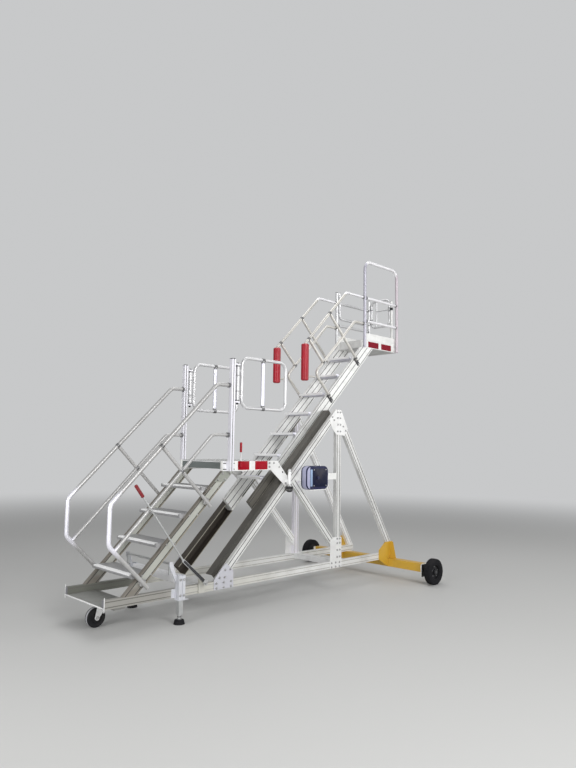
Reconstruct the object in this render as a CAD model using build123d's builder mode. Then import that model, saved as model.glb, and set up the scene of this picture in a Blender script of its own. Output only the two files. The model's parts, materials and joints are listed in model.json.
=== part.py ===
from build123d import *
import math
import os

# Variable height access platform: a wheeled aluminium stair whose upper flight slides on a 45 degree track.
# Millimetres, +X from the front step towards the rear axle, +Y towards the far side, +Z up.
# Lengths along the stand are measured from the front edge of the base rails.
os.makedirs("parts", exist_ok=True)

# Base rails and what ties them
rail_depth = 80
rail_width = 45
base_width = 745
rail_bottom = 234
rail_overhang = 50
groove_width = 9
groove_depth = 6
groove_inset = 17
plate_thickness = 6
cross_width = 80
cross_depth = 60
middle_cross_x = 1050

# Steps
riser = 250
going = 250
first_nose_x = 254
first_tread_z = 494
lower_tread_count = 4
tread_depth = 215
tread_thickness = 30
tread_groove_count = 7
tread_groove_width = 8
tread_groove_depth = 4
nosing_depth = 45
nosing_height = 36
nosing_radius = 8
lower_nosing_half = 355

# Lower stair
stringer_width = 40
stringer_depth = 100
stringer_offset = -75
stringer_gusset_height = 104
platform_back_x = 1900
platform_depth = 100
platform_beam_rise = 20
front_step_depth = 300
front_step_top = 250
front_step_lip = 15

# Tubes
rail_tube = 40
guard_tube = 34
bar_tube = 22
bend_radius = 90
foot_pad_half = 28
foot_pad_reach = 40

# Lower handrail, heights measured plumb above the line of the noses
handrail_rise = 890
midrail_rise = 430
handrail_front_x = -3
lower_rail_foot_sum = 772
lower_foot_past_stringer = 34
lower_strut_sum = 2140
lower_rail_y = 402
lower_hand_top = 2265
lower_mid_top = 1758

# Middle posts and swing guards
post_size = 45
post_x = 1315
post_y = 415
post_top = 2537
post_clamp_drop = 10
hinge_x = 1385
hinge_tube = 38
hinge_low = 2105
hinge_high = 2480
hinge_arm_inset = 60
guard_front_x = 1441
guard_back_x = 2073
guard_low = 2042
guard_high = 2566
guard_bar_x = 1737
lug_thickness = 14

# Side trusses
truss_offset = 925
truss_depth = 80
upright_front_x = 2980
upright_top = 2100
brace_foot_past_axle = 48
brace_head_z = 1985
diagonal_head_x = 2253
diagonal_foot_z = 470

# Tracks and the shoes that run in them
track_low_offset = 980
track_high_offset = 800
track_half_y = 232.5
track_foot_z = 330
shoe_sums = (2800, 4180)
shoe_reach = 290

# Upper stair
upper_nose_x = 1912
upper_nose_z = 1312
upper_treads_below = 0
upper_tread_count = 7
upper_half = 225
upper_stringer_low = 910
upper_stringer_high = 677
upper_nosing_half = 203
upper_nosing_height = 18
upper_foot_sum = 2780
upper_bend = 70
upper_handrail_offset = -315
upper_midrail_offset = 200
upper_mid_lead = 280
upper_rail_foot = 60
upper_front_x = 2550
upper_bar_tube = 24
upper_bar_rise = 45
upper_bar_reach = 40
sleeve_low = 2440
sleeve_high = 2836
sleeve_diameter = 70
upper_strut_sums = (5550, 6290)

# Upper platform
deck_front_x = 3662
deck_back_x = 4395
deck_depth = 100
deck_pan = 4
hoop_front_x = 3676
hoop_back_x = 4378
hoop_top = 4110
hoop_bend = 110
guard_rail_heights = (3310, 3620)
mid_rail_drop = 40
toe_height = 95
far_post_top = 3765
far_pair_gap = 58
far_loop_z = 3405
far_loop_bend = 55

# Rear gate and the post that it closes on
gate_tube = 30
gate_low = 3362
gate_high = 3736
gate_bend = 60
gate_hinge_gap = 15
gate_latch_y = -118
gate_latch_tube = 18
gate_bar_y = 107
gate_latch_z = 3592
gate_post_y = -157
gate_post_top = 3700
gate_lug_zs = (3430, 3640)
gate_lug_height = 30
gate_lug_half = 10

# Axle and wheels
axle_x = 4037
beam_size = 100
hub_gap = 82
flange_thickness = 12
flange_size = 150
web_reach = 95
axle_plate_front = 232
axle_plate_shoulder = 106
axle_plate_back = 63
axle_plate_low_rise = 38
axle_plate_rise = 130
wheel_radius = 155
wheel_half_track = 1029
tyre_width = 80
tyre_shoulder = 14
hub_radius = 88
hub_recess = 22
hub_boss_radius = 34
rim_lip = 12
stub_diameter = 38
running_fit = 0.05

# Caster
caster_x = 172
caster_beam_width = 110
caster_beam_height = 40
caster_radius = 88
caster_width = 56
caster_trail = 55
caster_side_gap = 6
caster_plate_half = 55
caster_plate_thickness = 6
caster_head_radius = 36
caster_head_height = 10
caster_axle = 16
caster_hub_radius = 52
caster_hub_recess = 6

# Jacks
jack_x = 745
sleeve_size = 70
leg_size = 45
leg_gap = 0.5
sleeve_bottom = 222
sleeve_top = 442
leg_foot_z = 85
pad_radius = 53
pad_height = 38
pad_taper = 14
pad_stem_radius = 15
flange_length = 112
flange_breadth = 64
flange_shift = 18
leg_top = 430
jack_beam_low = 372
jack_beam_high = 440
shaft_x = 655
shaft_z = 548
shaft_diameter = 20
crank_length = 98
crank_width = 24
ear_thickness = 12
ear_half = 18
ear_depth = 62
lever_x = 1016
lever_z = 340
lever_knee_x = 752
lever_knee_z = 575
lever_tip_x = 215
lever_tip_z = 1290
lever_rod = 16
lever_flat = 30
lever_flat_thickness = 12
lever_stand_off = 66
lever_pin = 18
lever_eye_radius = 26
grip_radius = 15
grip_length = 135
running_gap = 0.3

# Winch and the small hand controls
winch_x = 2382
winch_length = 351
winch_low = 1170
winch_high = 1430
winch_depth = 90
winch_corner = 62
winch_boss_radius = 20
winch_boss_reach = 18
winch_bar_low = 1268
winch_bar_high = 1342
winch_plate_high = 1425
lock_x = 2155
lock_low = 1217
lock_high = 1391
lock_radius = 18
lock_knob_radius = 38
lock_knob_height = 40
lock_bracket_low = 1238
lock_bracket_high = 1285
handle_x = 1470
handle_stand_off = 18
handle_root = 60
handle_lug_height = 36
handle_rod = 12
handle_reach = 186
handle_grip_radius = 12
handle_grip_length = 96

# Worked out from the sizes above
rail_top = rail_bottom + rail_depth
rail_outer = base_width / 2
rail_inner = rail_outer - rail_width
rail_length = axle_x + beam_size / 2 + rail_overhang
brace_foot_x = axle_x + brace_foot_past_axle
beam_half = wheel_half_track - tyre_width / 2 - hub_gap - flange_thickness
deck_z = upper_nose_z + (upper_tread_count - upper_treads_below) * riser
platform_nose_x = first_nose_x + lower_tread_count * going
platform_z = first_tread_z + lower_tread_count * riser
nose_offset = first_nose_x - first_tread_z
overall_front = handrail_front_x - rail_tube / 2
overall_back = hoop_back_x + rail_tube / 2
front_x = -(overall_front + overall_back) / 2
plate_outer = rail_outer + plate_thickness
sides = (("near", -1), ("far", 1))


def side_plane(y):
    """Upright plane along the stand: x from the front edge, y upwards, normal to the near side."""
    return Plane(origin=(front_x, y, 0), x_dir=(1, 0, 0), z_dir=(0, -1, 0))


def cross_plane(x):
    """Upright plane across the stand at x from the front edge: x is world Y, y is up, normal to the rear."""
    return Plane(origin=(front_x + x, 0, 0), x_dir=(0, 1, 0), z_dir=(1, 0, 0))


def level_plane(z):
    """Level plane at height z: x from the front edge, y to the far side."""
    return Plane(origin=(front_x, 0, z), x_dir=(1, 0, 0), z_dir=(0, 0, 1))


def span(side, inner, outer):
    """Low and high Y of something between two distances from the middle, on one side."""
    return tuple(sorted((side * inner, side * outer)))


def side_plate(outline, y_range):
    """Flat piece with an outline along the stand, between two Y values."""
    with BuildPart() as made:
        with BuildSketch(side_plane(y_range[1])):
            with BuildLine():
                Polyline(*outline, close=True)
            make_face()
        extrude(amount=y_range[1] - y_range[0])
    return made.part


def block(x_range, y_range, z_range):
    """Square block between low and high values."""
    (x_low, x_high), (y_low, y_high), (z_low, z_high) = x_range, y_range, z_range
    return side_plate([(x_low, z_low), (x_high, z_low), (x_high, z_high), (x_low, z_high)], y_range)


def slope(offset, s_low, s_high, half):
    """Outline of a band at 45 degrees: x - z is offset either side by half, x + z runs between two sums."""
    corners = ((offset - half, s_low), (offset + half, s_low), (offset + half, s_high), (offset - half, s_high))
    return [((s + d) / 2, (s - d) / 2) for d, s in corners]


def crossing(offset, total):
    """Point where x - z is offset and x + z is total."""
    return ((total + offset) / 2, (total - offset) / 2)


def at_height(offset, z):
    """Point on the 45 degree line x - z = offset at height z."""
    return (offset + z, z)


def at_length(offset, x):
    """Point on the 45 degree line x - z = offset at x."""
    return (x, x - offset)


def grooved(outline, y_range, start, end, lines):
    """Extruded bar: a side plate with grooves in both faces, along the run from start to end.

    Each of the lines is a distance square to that run, in the middle of one groove.
    """
    run = math.hypot(end[0] - start[0], end[1] - start[1])
    along = ((end[0] - start[0]) / run, (end[1] - start[1]) / run)
    with BuildPart() as made:
        add(side_plate(outline, y_range))
        for face_y, inward in ((y_range[0], 1), (y_range[1], -1)):
            face = Plane(
                origin=(front_x + start[0], face_y, start[1]),
                x_dir=(along[0], 0, along[1]),
                z_dir=(0, inward, 0),
            )
            with BuildSketch(face):
                for line in lines:
                    with Locations((run / 2, inward * line)):
                        Rectangle(2 * run, groove_width)
            extrude(amount=groove_depth, mode=Mode.SUBTRACT)
    return made.part


def edge_grooves(depth):
    """Two groove lines, one near each edge of a bar of this depth."""
    return (groove_inset - depth / 2, depth / 2 - groove_inset)


def tube(points, y, diameter, radius=bend_radius, closed=False, plane=None):
    """Round tube bent along points in the side plane at y, or in another plane."""
    with BuildPart() as made:
        with BuildLine(plane or side_plane(y)) as path:
            if len(points) > 2:
                FilletPolyline(*points, radius=radius, close=closed)
            else:
                Line(*points)
        with BuildSketch(Plane(origin=path.line @ 0, z_dir=path.line % 0)):
            Circle(diameter / 2)
        sweep()
    return made.part


def cross_rod(x, z, y_range, diameter):
    """Round rod across the stand."""
    with BuildPart() as made:
        with BuildSketch(side_plane(y_range[1])):
            with Locations((x, z)):
                Circle(diameter / 2)
        extrude(amount=y_range[1] - y_range[0])
    return made.part


def upright_rod(x, y, z_range, diameter):
    """Round rod standing up."""
    with BuildPart() as made:
        with BuildSketch(level_plane(z_range[0])):
            with Locations((x, y)):
                Circle(diameter / 2)
        extrude(amount=z_range[1] - z_range[0])
    return made.part


def foot_pad(offset, total, y_range):
    """Pad that carries a tube's foot on the side of a 45 degree stringer."""
    return side_plate(slope(offset, total - foot_pad_reach, total + foot_pad_reach, foot_pad_half), y_range)


def tread(x, z, half, nosing_half, nosing_drop):
    """Grooved plank behind a rounded nosing whose top front edge is at x and z."""
    with BuildPart() as made:
        plank = tread_depth - nosing_depth
        with BuildSketch(side_plane(half)):
            with Locations((x + nosing_depth + plank / 2, z - tread_thickness / 2)):
                Rectangle(plank, tread_thickness)
            pitch = plank / tread_groove_count
            for groove in range(tread_groove_count):
                with Locations((x + nosing_depth + (groove + 0.5) * pitch, z - tread_groove_depth / 2)):
                    Rectangle(tread_groove_width, tread_groove_depth, mode=Mode.SUBTRACT)
        extrude(amount=2 * half)
        with BuildSketch(side_plane(nosing_half)):
            with Locations((x + nosing_depth / 2, z - nosing_drop / 2)):
                RectangleRounded(nosing_depth, nosing_drop, nosing_radius)
        extrude(amount=2 * nosing_half)
    return made.part


def save(name, part):
    """Label a finished piece and write it."""
    part.label = name
    export_step(part, f"parts/{name}.step")


# Base rails, grooved extrusions on edge
rail_middle = rail_bottom + rail_depth / 2
for name, side in sides:
    with BuildPart() as base_rail:
        outline = [(0, rail_bottom), (rail_length, rail_bottom), (rail_length, rail_top), (0, rail_top)]
        ends = ((0, rail_middle), (rail_length, rail_middle))
        add(grooved(outline, span(side, rail_inner, rail_outer), *ends, edge_grooves(rail_depth)))
    save(f"base_rail_{name}", base_rail.part)

# Cross members: low box sections between the rails
step_underside = front_step_top - plate_thickness
caster_mount_z = step_underside - caster_beam_height
cross_members = (
    # low x, high x, low z, high z, half the length
    (caster_x - caster_beam_width / 2, caster_x + caster_beam_width / 2, caster_mount_z, step_underside, rail_inner),
    (middle_cross_x - cross_width / 2, middle_cross_x + cross_width / 2, rail_top - cross_depth, rail_top, rail_inner),
    (upright_front_x, upright_front_x + cross_width, rail_top - cross_depth, rail_top, rail_inner),
)
with BuildPart() as base_cross_members:
    for x_low, x_high, z_low, z_high, half in cross_members:
        add(block((x_low, x_high), (-half, half), (z_low, z_high)))
save("base_cross_members", base_cross_members.part)

# Front step, folded plate between the rails
with BuildPart() as front_step:
    add(side_plate(
        [
            (0, front_step_top),
            (0, front_step_top - front_step_lip),
            (plate_thickness, front_step_top - front_step_lip),
            (plate_thickness, step_underside),
            (front_step_depth - plate_thickness, step_underside),
            (front_step_depth - plate_thickness, front_step_top - front_step_lip),
            (front_step_depth, front_step_top - front_step_lip),
            (front_step_depth, front_step_top),
        ],
        (-rail_inner, rail_inner),
    ))
save("front_step", front_step.part)

# Lower stringers, from the rails up to the middle platform
stringer_half = stringer_depth / math.sqrt(2)
stringer_upper, stringer_lower = stringer_offset - stringer_half, stringer_offset + stringer_half
platform_underside = platform_z - platform_depth
for name, side in sides:
    with BuildPart() as lower_stringer:
        outline = [
            at_height(stringer_upper, rail_top),
            at_height(stringer_lower, rail_top),
            at_height(stringer_lower, platform_underside),
            at_height(stringer_upper, platform_underside),
        ]
        y_range = span(side, rail_outer - stringer_width, rail_outer)
        ends = (at_height(stringer_offset, rail_top), at_height(stringer_offset, platform_underside))
        add(grooved(outline, y_range, *ends, edge_grooves(stringer_depth)))
    save(f"lower_stringer_{name}", lower_stringer.part)

# Lower treads
with BuildPart() as lower_treads:
    for step in range(lower_tread_count):
        nose = (first_nose_x + step * going, first_tread_z + step * riser)
        add(tread(*nose, rail_outer - stringer_width, lower_nosing_half, nosing_height))
save("lower_treads", lower_treads.part)

# Lower handrails: bent front loop, handrail, midrail and one strut square to the slope
lower_hand_line = nose_offset - handrail_rise
lower_mid_line = nose_offset - midrail_rise
post_front = post_x - post_size / 2
rail_foot_offset = stringer_lower + lower_foot_past_stringer
for name, side in sides:
    with BuildPart() as lower_handrail:
        y = side * lower_rail_y
        add(tube(
            [
                crossing(rail_foot_offset, lower_rail_foot_sum),
                (handrail_front_x, lower_rail_foot_sum - handrail_front_x),
                (handrail_front_x, handrail_front_x - lower_hand_line),
                (lower_hand_top + lower_hand_line, lower_hand_top),
                (post_front, lower_hand_top),
            ],
            y,
            rail_tube,
        ))
        add(tube(
            [
                crossing(lower_mid_line, lower_rail_foot_sum),
                (lower_mid_top + lower_mid_line, lower_mid_top),
                (post_front, lower_mid_top),
            ],
            y,
            guard_tube,
        ))
        strut = [crossing(lower_hand_line, lower_strut_sum), crossing(rail_foot_offset, lower_strut_sum)]
        add(tube(strut, y, guard_tube))
        for total in (lower_rail_foot_sum, lower_strut_sum):
            add(foot_pad(stringer_offset, total, span(side, rail_outer, lower_rail_y)))
    save(f"lower_handrail_{name}", lower_handrail.part)

# Middle platform: perimeter frame under a deck plate
with BuildPart() as mid_platform:
    deck_low = platform_z - plate_thickness
    deck_x = (platform_nose_x, platform_back_x)
    add(block(deck_x, (-rail_outer, rail_outer), (deck_low, platform_z)))
    beam_middle = (platform_underside + deck_low) / 2
    beam_depth = deck_low - platform_underside
    for name, side in sides:
        outline = [(deck_x[0], platform_underside), (deck_x[1], platform_underside)]
        outline += [(deck_x[1], deck_low), (deck_x[0], deck_low)]
        ends = ((deck_x[0], beam_middle), (deck_x[1], beam_middle))
        add(grooved(outline, span(side, rail_outer - stringer_width, rail_outer), *ends, edge_grooves(beam_depth)))
    middle_beam_x = (platform_nose_x + platform_back_x - nosing_depth) / 2
    for x in (platform_nose_x, middle_beam_x, platform_back_x - nosing_depth):
        beam_y = (stringer_width - rail_outer, rail_outer - stringer_width)
        add(block((x, x + nosing_depth), beam_y, (platform_underside + platform_beam_rise, deck_low)))
save("mid_platform", mid_platform.part)

# Middle posts, clamped to the platform's sides, with lugs for the swing guards
with BuildPart() as mid_posts:
    for name, side in sides:
        post_span = span(side, post_y - post_size / 2, post_y + post_size / 2)
        x_span = (post_x - post_size / 2, post_x + post_size / 2)
        outline = [(x_span[0], platform_underside), (x_span[1], platform_underside)]
        outline += [(x_span[1], post_top), (x_span[0], post_top)]
        add(grooved(outline, post_span, (post_x, platform_underside), (post_x, post_top), (0,)))
        clamp_span = span(side, rail_outer, post_y - post_size / 2)
        add(block(x_span, clamp_span, (platform_underside, platform_z - post_clamp_drop)))
        for z_low in (hinge_low - running_gap - lug_thickness, hinge_high + running_gap):
            lug_span = span(side, post_y - hinge_tube / 2, post_y + hinge_tube / 2)
            add(block((x_span[1], hinge_x + hinge_tube / 2), lug_span, (z_low, z_low + lug_thickness)))
save("mid_posts", mid_posts.part)

# Swing guards: a rounded loop with a centre bar on a hinge tube
for name, side in sides:
    with BuildPart() as mid_guard:
        y = side * post_y
        add(upright_rod(hinge_x, y, (hinge_low, hinge_high), hinge_tube))
        corners = [(guard_front_x, guard_low), (guard_back_x, guard_low)]
        corners += [(guard_back_x, guard_high), (guard_front_x, guard_high)]
        add(tube(corners, y, guard_tube, closed=True))
        add(tube([(guard_bar_x, guard_low), (guard_bar_x, guard_high)], y, guard_tube))
        for z in (hinge_low + hinge_arm_inset, hinge_high - hinge_arm_inset):
            add(tube([(hinge_x, z), (guard_front_x, z)], y, bar_tube))
    save(f"mid_guard_{name}", mid_guard.part)

# Side trusses, in line with the rails
truss_half = truss_depth / math.sqrt(2)
truss_upper, truss_lower = truss_offset - truss_half, truss_offset + truss_half
upright_back_x = upright_front_x + truss_depth
truss_grooves = edge_grooves(truss_depth)


def brace_edges():
    """Outline of the rear brace, cut level on the rail and plumb on the upright."""
    run = brace_foot_x - upright_back_x
    drop = brace_head_z - rail_top
    length = math.hypot(run, drop)
    plumb = truss_depth / 2 * length / run
    level = truss_depth / 2 * length / drop
    return [
        (upright_back_x, brace_head_z + plumb),
        (upright_back_x, brace_head_z - plumb),
        (brace_foot_x - level, rail_top),
        (brace_foot_x + level, rail_top),
    ]


def diagonal_edges():
    """Outline of the diagonal, from the inclined member's lower edge to the upright's front face."""
    head = at_length(truss_lower, diagonal_head_x)
    run = upright_front_x - head[0]
    fall = head[1] - diagonal_foot_z
    plumb = truss_depth / 2 * math.hypot(run, fall) / run
    outline = []
    for shift in (plumb, -plumb):
        # The shifted edge falls by fall / run from the head, and meets the member's lower edge here.
        x = (head[1] + shift + fall / run * head[0] + truss_lower) / (1 + fall / run)
        outline.append(at_length(truss_lower, x))
    outline.append((upright_front_x, diagonal_foot_z - plumb))
    outline.append((upright_front_x, diagonal_foot_z + plumb))
    return outline


with BuildPart() as inclined_members:
    for name, side in sides:
        outline = [at_height(truss_upper, rail_top), at_height(truss_lower, rail_top)]
        outline += [at_length(truss_lower, upright_front_x), at_length(truss_upper, upright_front_x)]
        ends = (at_height(truss_offset, rail_top), at_length(truss_offset, upright_front_x))
        add(grooved(outline, span(side, rail_inner, rail_outer), *ends, truss_grooves))
save("inclined_members", inclined_members.part)

with BuildPart() as uprights:
    for name, side in sides:
        outline = [(upright_front_x, rail_top), (upright_back_x, rail_top)]
        outline += [(upright_back_x, upright_top), (upright_front_x, upright_top)]
        middle = (upright_front_x + upright_back_x) / 2
        ends = ((middle, rail_top), (middle, upright_top))
        add(grooved(outline, span(side, rail_inner, rail_outer), *ends, truss_grooves))
save("uprights", uprights.part)

with BuildPart() as rear_braces:
    for name, side in sides:
        ends = ((upright_back_x, brace_head_z), (brace_foot_x, rail_top))
        add(grooved(brace_edges(), span(side, rail_inner, rail_outer), *ends, truss_grooves))
save("rear_braces", rear_braces.part)

with BuildPart() as diagonals:
    for name, side in sides:
        ends = (at_length(truss_lower, diagonal_head_x), (upright_front_x, diagonal_foot_z))
        add(grooved(diagonal_edges(), span(side, rail_inner, rail_outer), *ends, truss_grooves))
save("diagonals", diagonals.part)

# Gusset plates on the outer faces
stringer_head = platform_underside - stringer_gusset_height
gusset_outlines = (
    # at the inclined member's foot
    [(1172, rail_bottom), (1417, rail_bottom), (1412, 400), (1320, 480), (1266, 437), (1172, 333)],
    # at the upright's foot
    [(2877, rail_bottom), (3075, rail_bottom), (3075, 585), (2935, 592), (2877, 545)],
    # at the upright's head
    [(2955, 2090), (3062, 2095), (3180, 1880), (3120, 1790), (2970, 1800), (2900, 1870), (2850, 1985)],
    # from the middle platform to the inclined member
    [(1868, 1494), (2004, 1494), (2178, 1300), (2135, 1210), (1900, 1400), (1868, 1400)],
    # at the lower stringer's head
    [
        at_height(stringer_upper, stringer_head),
        at_height(stringer_lower, stringer_head),
        at_height(stringer_lower, platform_underside),
        at_height(stringer_upper, platform_underside),
    ],
)
gusset_hole_radius = 11
gusset_holes = (
    # x, z of the open holes in the plate behind the middle platform
    (2031, 1425),
    (2085, 1369),
)
with BuildPart() as gussets:
    for name, side in sides:
        y_range = span(side, rail_outer, plate_outer)
        for outline in gusset_outlines:
            add(side_plate(outline, y_range))
        with BuildSketch(side_plane(y_range[1])):
            for hole in gusset_holes:
                with Locations(hole):
                    Circle(gusset_hole_radius)
        extrude(amount=plate_thickness, mode=Mode.SUBTRACT)
save("gussets", gussets.part)

# Tracks: web plates on the inclined members' inner faces, each with an upper and a lower guide bar
track_half = (track_low_offset - track_high_offset) / 2
track_offset = (track_low_offset + track_high_offset) / 2
track_low_sum = 2 * track_foot_z + track_offset
track_high_sum = 2 * upright_front_x - track_offset - track_half
track_wall = plate_thickness * math.sqrt(2)
track_web_y = rail_inner - plate_thickness
with BuildPart() as tracks:
    for name, side in sides:
        web_outline = slope(track_offset, track_low_sum, track_high_sum, track_half)
        add(side_plate(web_outline, span(side, track_web_y, rail_inner)))
save("tracks", tracks.part)
with BuildPart() as guide_bars:
    for name, side in sides:
        for edge in (track_high_offset + track_wall / 2, track_low_offset - track_wall / 2):
            bar_outline = slope(edge, track_low_sum, track_high_sum, track_wall / 2)
            add(side_plate(bar_outline, span(side, track_half_y, track_web_y)))
save("guide_bars", guide_bars.part)

# Winch: a guarded drum with a drive boss, on a bar and a plate across the near truss
winch_plate_x = winch_x + winch_length / 4
with BuildPart() as winch_bar:
    diagonal_head, *_, diagonal_foot = diagonal_edges()
    diagonal_slope = (diagonal_foot[0] - diagonal_head[0]) / (diagonal_head[1] - diagonal_foot[1])
    bar_start_x = diagonal_head[0] + diagonal_slope * (diagonal_head[1] - winch_bar_low)
    outline = [diagonal_head, (bar_start_x, winch_bar_low), (upright_front_x, winch_bar_low)]
    outline += [(upright_front_x, winch_bar_high), (winch_plate_x, winch_bar_high)]
    outline += [(winch_plate_x, winch_plate_high), at_height(truss_lower, winch_plate_high)]
    add(side_plate(outline, span(-1, rail_inner, rail_outer)))
save("winch_bar", winch_bar.part)

with BuildPart() as winch:
    winch_centre = (winch_x + winch_length / 2, (winch_low + winch_high) / 2)
    winch_face = rail_outer + winch_depth
    with BuildSketch(side_plane(-rail_outer)):
        with Locations(winch_centre):
            RectangleRounded(winch_length, winch_high - winch_low, winch_corner)
    extrude(amount=winch_depth)
    boss_span = (-winch_face - winch_boss_reach, -winch_face)
    add(cross_rod(*winch_centre, boss_span, 2 * winch_boss_radius))
save("winch", winch.part)

# Screw clamp that locks the track, below the plate behind the middle platform
with BuildPart() as track_lock:
    lock_y = -plate_outer - lock_knob_radius
    bracket_x = (lock_x - lock_radius, lock_x + lock_radius)
    add(block(bracket_x, (lock_y, -plate_outer), (lock_bracket_low, lock_bracket_high)))
    add(upright_rod(lock_x, lock_y, (lock_low, lock_high), 2 * lock_radius))
    add(upright_rod(lock_x, lock_y, (lock_low - lock_knob_height, lock_low), 2 * lock_knob_radius))
save("track_lock", track_lock.part)

# Release handle on the edge of the middle platform
with BuildPart() as release_handle:
    handle_y = -rail_outer - handle_stand_off
    handle_top = platform_z + handle_reach
    handle_foot = platform_z - handle_root
    lug_x = (handle_x - handle_rod, handle_x + handle_rod)
    add(block(lug_x, (handle_y - handle_rod, -rail_outer), (handle_foot, handle_foot + handle_lug_height)))
    add(upright_rod(handle_x, handle_y, (handle_foot, handle_top), handle_rod))
    add(upright_rod(handle_x, handle_y, (handle_top - handle_grip_length, handle_top), 2 * handle_grip_radius))
save("release_handle", release_handle.part)

# Axle beam with side plates, webs, end flanges and stub axles
beam_top = rail_bottom
beam_bottom = beam_top - beam_size
plate_front_x = axle_x - axle_plate_front
plate_shoulder_x = axle_x - axle_plate_shoulder
plate_back_x = axle_x + axle_plate_back
plate_shoulder_z = rail_top + axle_plate_low_rise
plate_apex_z = rail_top + axle_plate_rise
plate_back_z = (plate_shoulder_z + plate_apex_z) / 2
with BuildPart() as axle_beam:
    add(block((axle_x - beam_size / 2, axle_x + beam_size / 2), (-beam_half, beam_half), (beam_bottom, beam_top)))
    for name, side in sides:
        flange_span = span(side, beam_half, beam_half + flange_thickness)
        half = flange_size / 2
        add(block((axle_x - half, axle_x + half), flange_span, (wheel_radius - half, wheel_radius + half)))
        stub_span = span(side, beam_half + flange_thickness, wheel_half_track + tyre_width / 2)
        add(cross_rod(axle_x, wheel_radius, stub_span, stub_diameter))
        plate = [(plate_front_x, beam_top), (axle_x - beam_size / 2, beam_bottom), (axle_x, beam_bottom)]
        plate += [(plate_back_x, beam_top), (plate_back_x, plate_back_z), (axle_x + beam_size / 2, plate_apex_z)]
        plate += [(plate_shoulder_x, plate_apex_z), (plate_front_x, plate_shoulder_z)]
        add(side_plate(plate, span(side, rail_outer, plate_outer)))
        with BuildSketch(cross_plane(axle_x - plate_thickness / 2)):
            with BuildLine():
                Polyline(
                    (side * plate_outer, beam_top),
                    (side * (plate_outer + web_reach), beam_top),
                    (side * (plate_outer + web_reach / 2), plate_apex_z),
                    (side * plate_outer, plate_apex_z),
                    close=True,
                )
            make_face()
        extrude(amount=plate_thickness)
save("axle_beam", axle_beam.part)

# Rear wheels: a tyre with rounded shoulders on a dished rim
for name, side in sides:
    y_range = span(side, wheel_half_track - tyre_width / 2, wheel_half_track + tyre_width / 2)
    wheel_plane = Plane(
        origin=(front_x + axle_x, side * wheel_half_track, wheel_radius), x_dir=(0, side, 0), z_dir=(1, 0, 0)
    )
    wheel_axis = Axis((front_x + axle_x, 0, wheel_radius), (0, 1, 0))
    half = tyre_width / 2
    with BuildPart() as rear_tyre:
        with BuildSketch(wheel_plane):
            with Locations((0, (wheel_radius + hub_radius) / 2)):
                RectangleRounded(tyre_width, wheel_radius - hub_radius, tyre_shoulder)
            with Locations((0, hub_radius + tyre_shoulder / 2)):
                Rectangle(tyre_width - tyre_shoulder, tyre_shoulder)
        revolve(axis=wheel_axis)
    save(f"rear_tyre_{name}", rear_tyre.part)
    with BuildPart() as rear_rim:
        bore = stub_diameter / 2 + running_fit
        rim_half = (tyre_width - tyre_shoulder) / 2
        with BuildSketch(wheel_plane):
            with BuildLine():
                Polyline(
                    (-rim_half, hub_radius),
                    (-rim_half, bore),
                    (half, bore),
                    (half, hub_boss_radius),
                    (rim_half - hub_recess, hub_boss_radius + rim_lip / 2),
                    (rim_half - hub_recess, hub_radius - rim_lip),
                    (rim_half, hub_radius - rim_lip / 2),
                    (rim_half, hub_radius),
                    close=True,
                )
            make_face()
        revolve(axis=wheel_axis)
    save(f"rear_rim_{name}", rear_rim.part)

# Front caster: mounting plate, swivel head, fork and wheel
fork_gap = caster_width / 2 + caster_side_gap
fork_outer = fork_gap + plate_thickness
wheel_x = caster_x - caster_trail
plate_z = caster_mount_z - running_gap
head_z = plate_z - caster_plate_thickness
crown_z = head_z - caster_head_height
with BuildPart() as caster_fork:
    plate_x = (caster_x - caster_plate_half, caster_x + caster_plate_half)
    add(block(plate_x, (-caster_plate_half, caster_plate_half), (head_z, plate_z)))
    add(upright_rod(caster_x, 0, (crown_z, head_z), 2 * caster_head_radius))
    crown_x = (caster_x - caster_plate_half, caster_x + caster_head_radius)
    add(block(crown_x, (-fork_outer, fork_outer), (crown_z - plate_thickness, crown_z)))
    for name, side in sides:
        with BuildSketch(side_plane(span(side, fork_gap, fork_outer)[1])):
            with BuildLine():
                Polyline(
                    (crown_x[0], crown_z),
                    (crown_x[1], crown_z),
                    (wheel_x + caster_axle * 1.4, caster_radius),
                    (wheel_x - caster_axle * 1.4, caster_radius),
                    close=True,
                )
            make_face()
            with Locations((wheel_x, caster_radius)):
                Circle(caster_axle * 1.4)
        extrude(amount=plate_thickness)
    add(cross_rod(wheel_x, caster_radius, (-fork_outer - caster_axle / 2, fork_outer + caster_axle / 2), caster_axle))
save("caster_fork", caster_fork.part)
with BuildPart() as caster_wheel:
    caster_plane = Plane(origin=(front_x + wheel_x, 0, caster_radius), x_dir=(0, 1, 0), z_dir=(1, 0, 0))
    half = caster_width / 2
    with BuildSketch(caster_plane):
        with BuildLine():
            Polyline(
                (-half, caster_axle / 2 + running_fit),
                (half, caster_axle / 2 + running_fit),
                (half, caster_axle * 1.5),
                (half - caster_hub_recess, caster_axle * 1.5),
                (half - caster_hub_recess, caster_hub_radius),
                (half, caster_hub_radius),
                (half, caster_radius - caster_hub_recess),
                (half - caster_hub_recess, caster_radius),
                (caster_hub_recess - half, caster_radius),
                (-half, caster_radius - caster_hub_recess),
                (-half, caster_hub_radius),
                (caster_hub_recess - half, caster_hub_radius),
                (caster_hub_recess - half, caster_axle * 1.5),
                (-half, caster_axle * 1.5),
                close=True,
            )
        make_face()
    revolve(axis=Axis((front_x + wheel_x, 0, caster_radius), (0, 1, 0)))
save("caster_wheel", caster_wheel.part)

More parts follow.
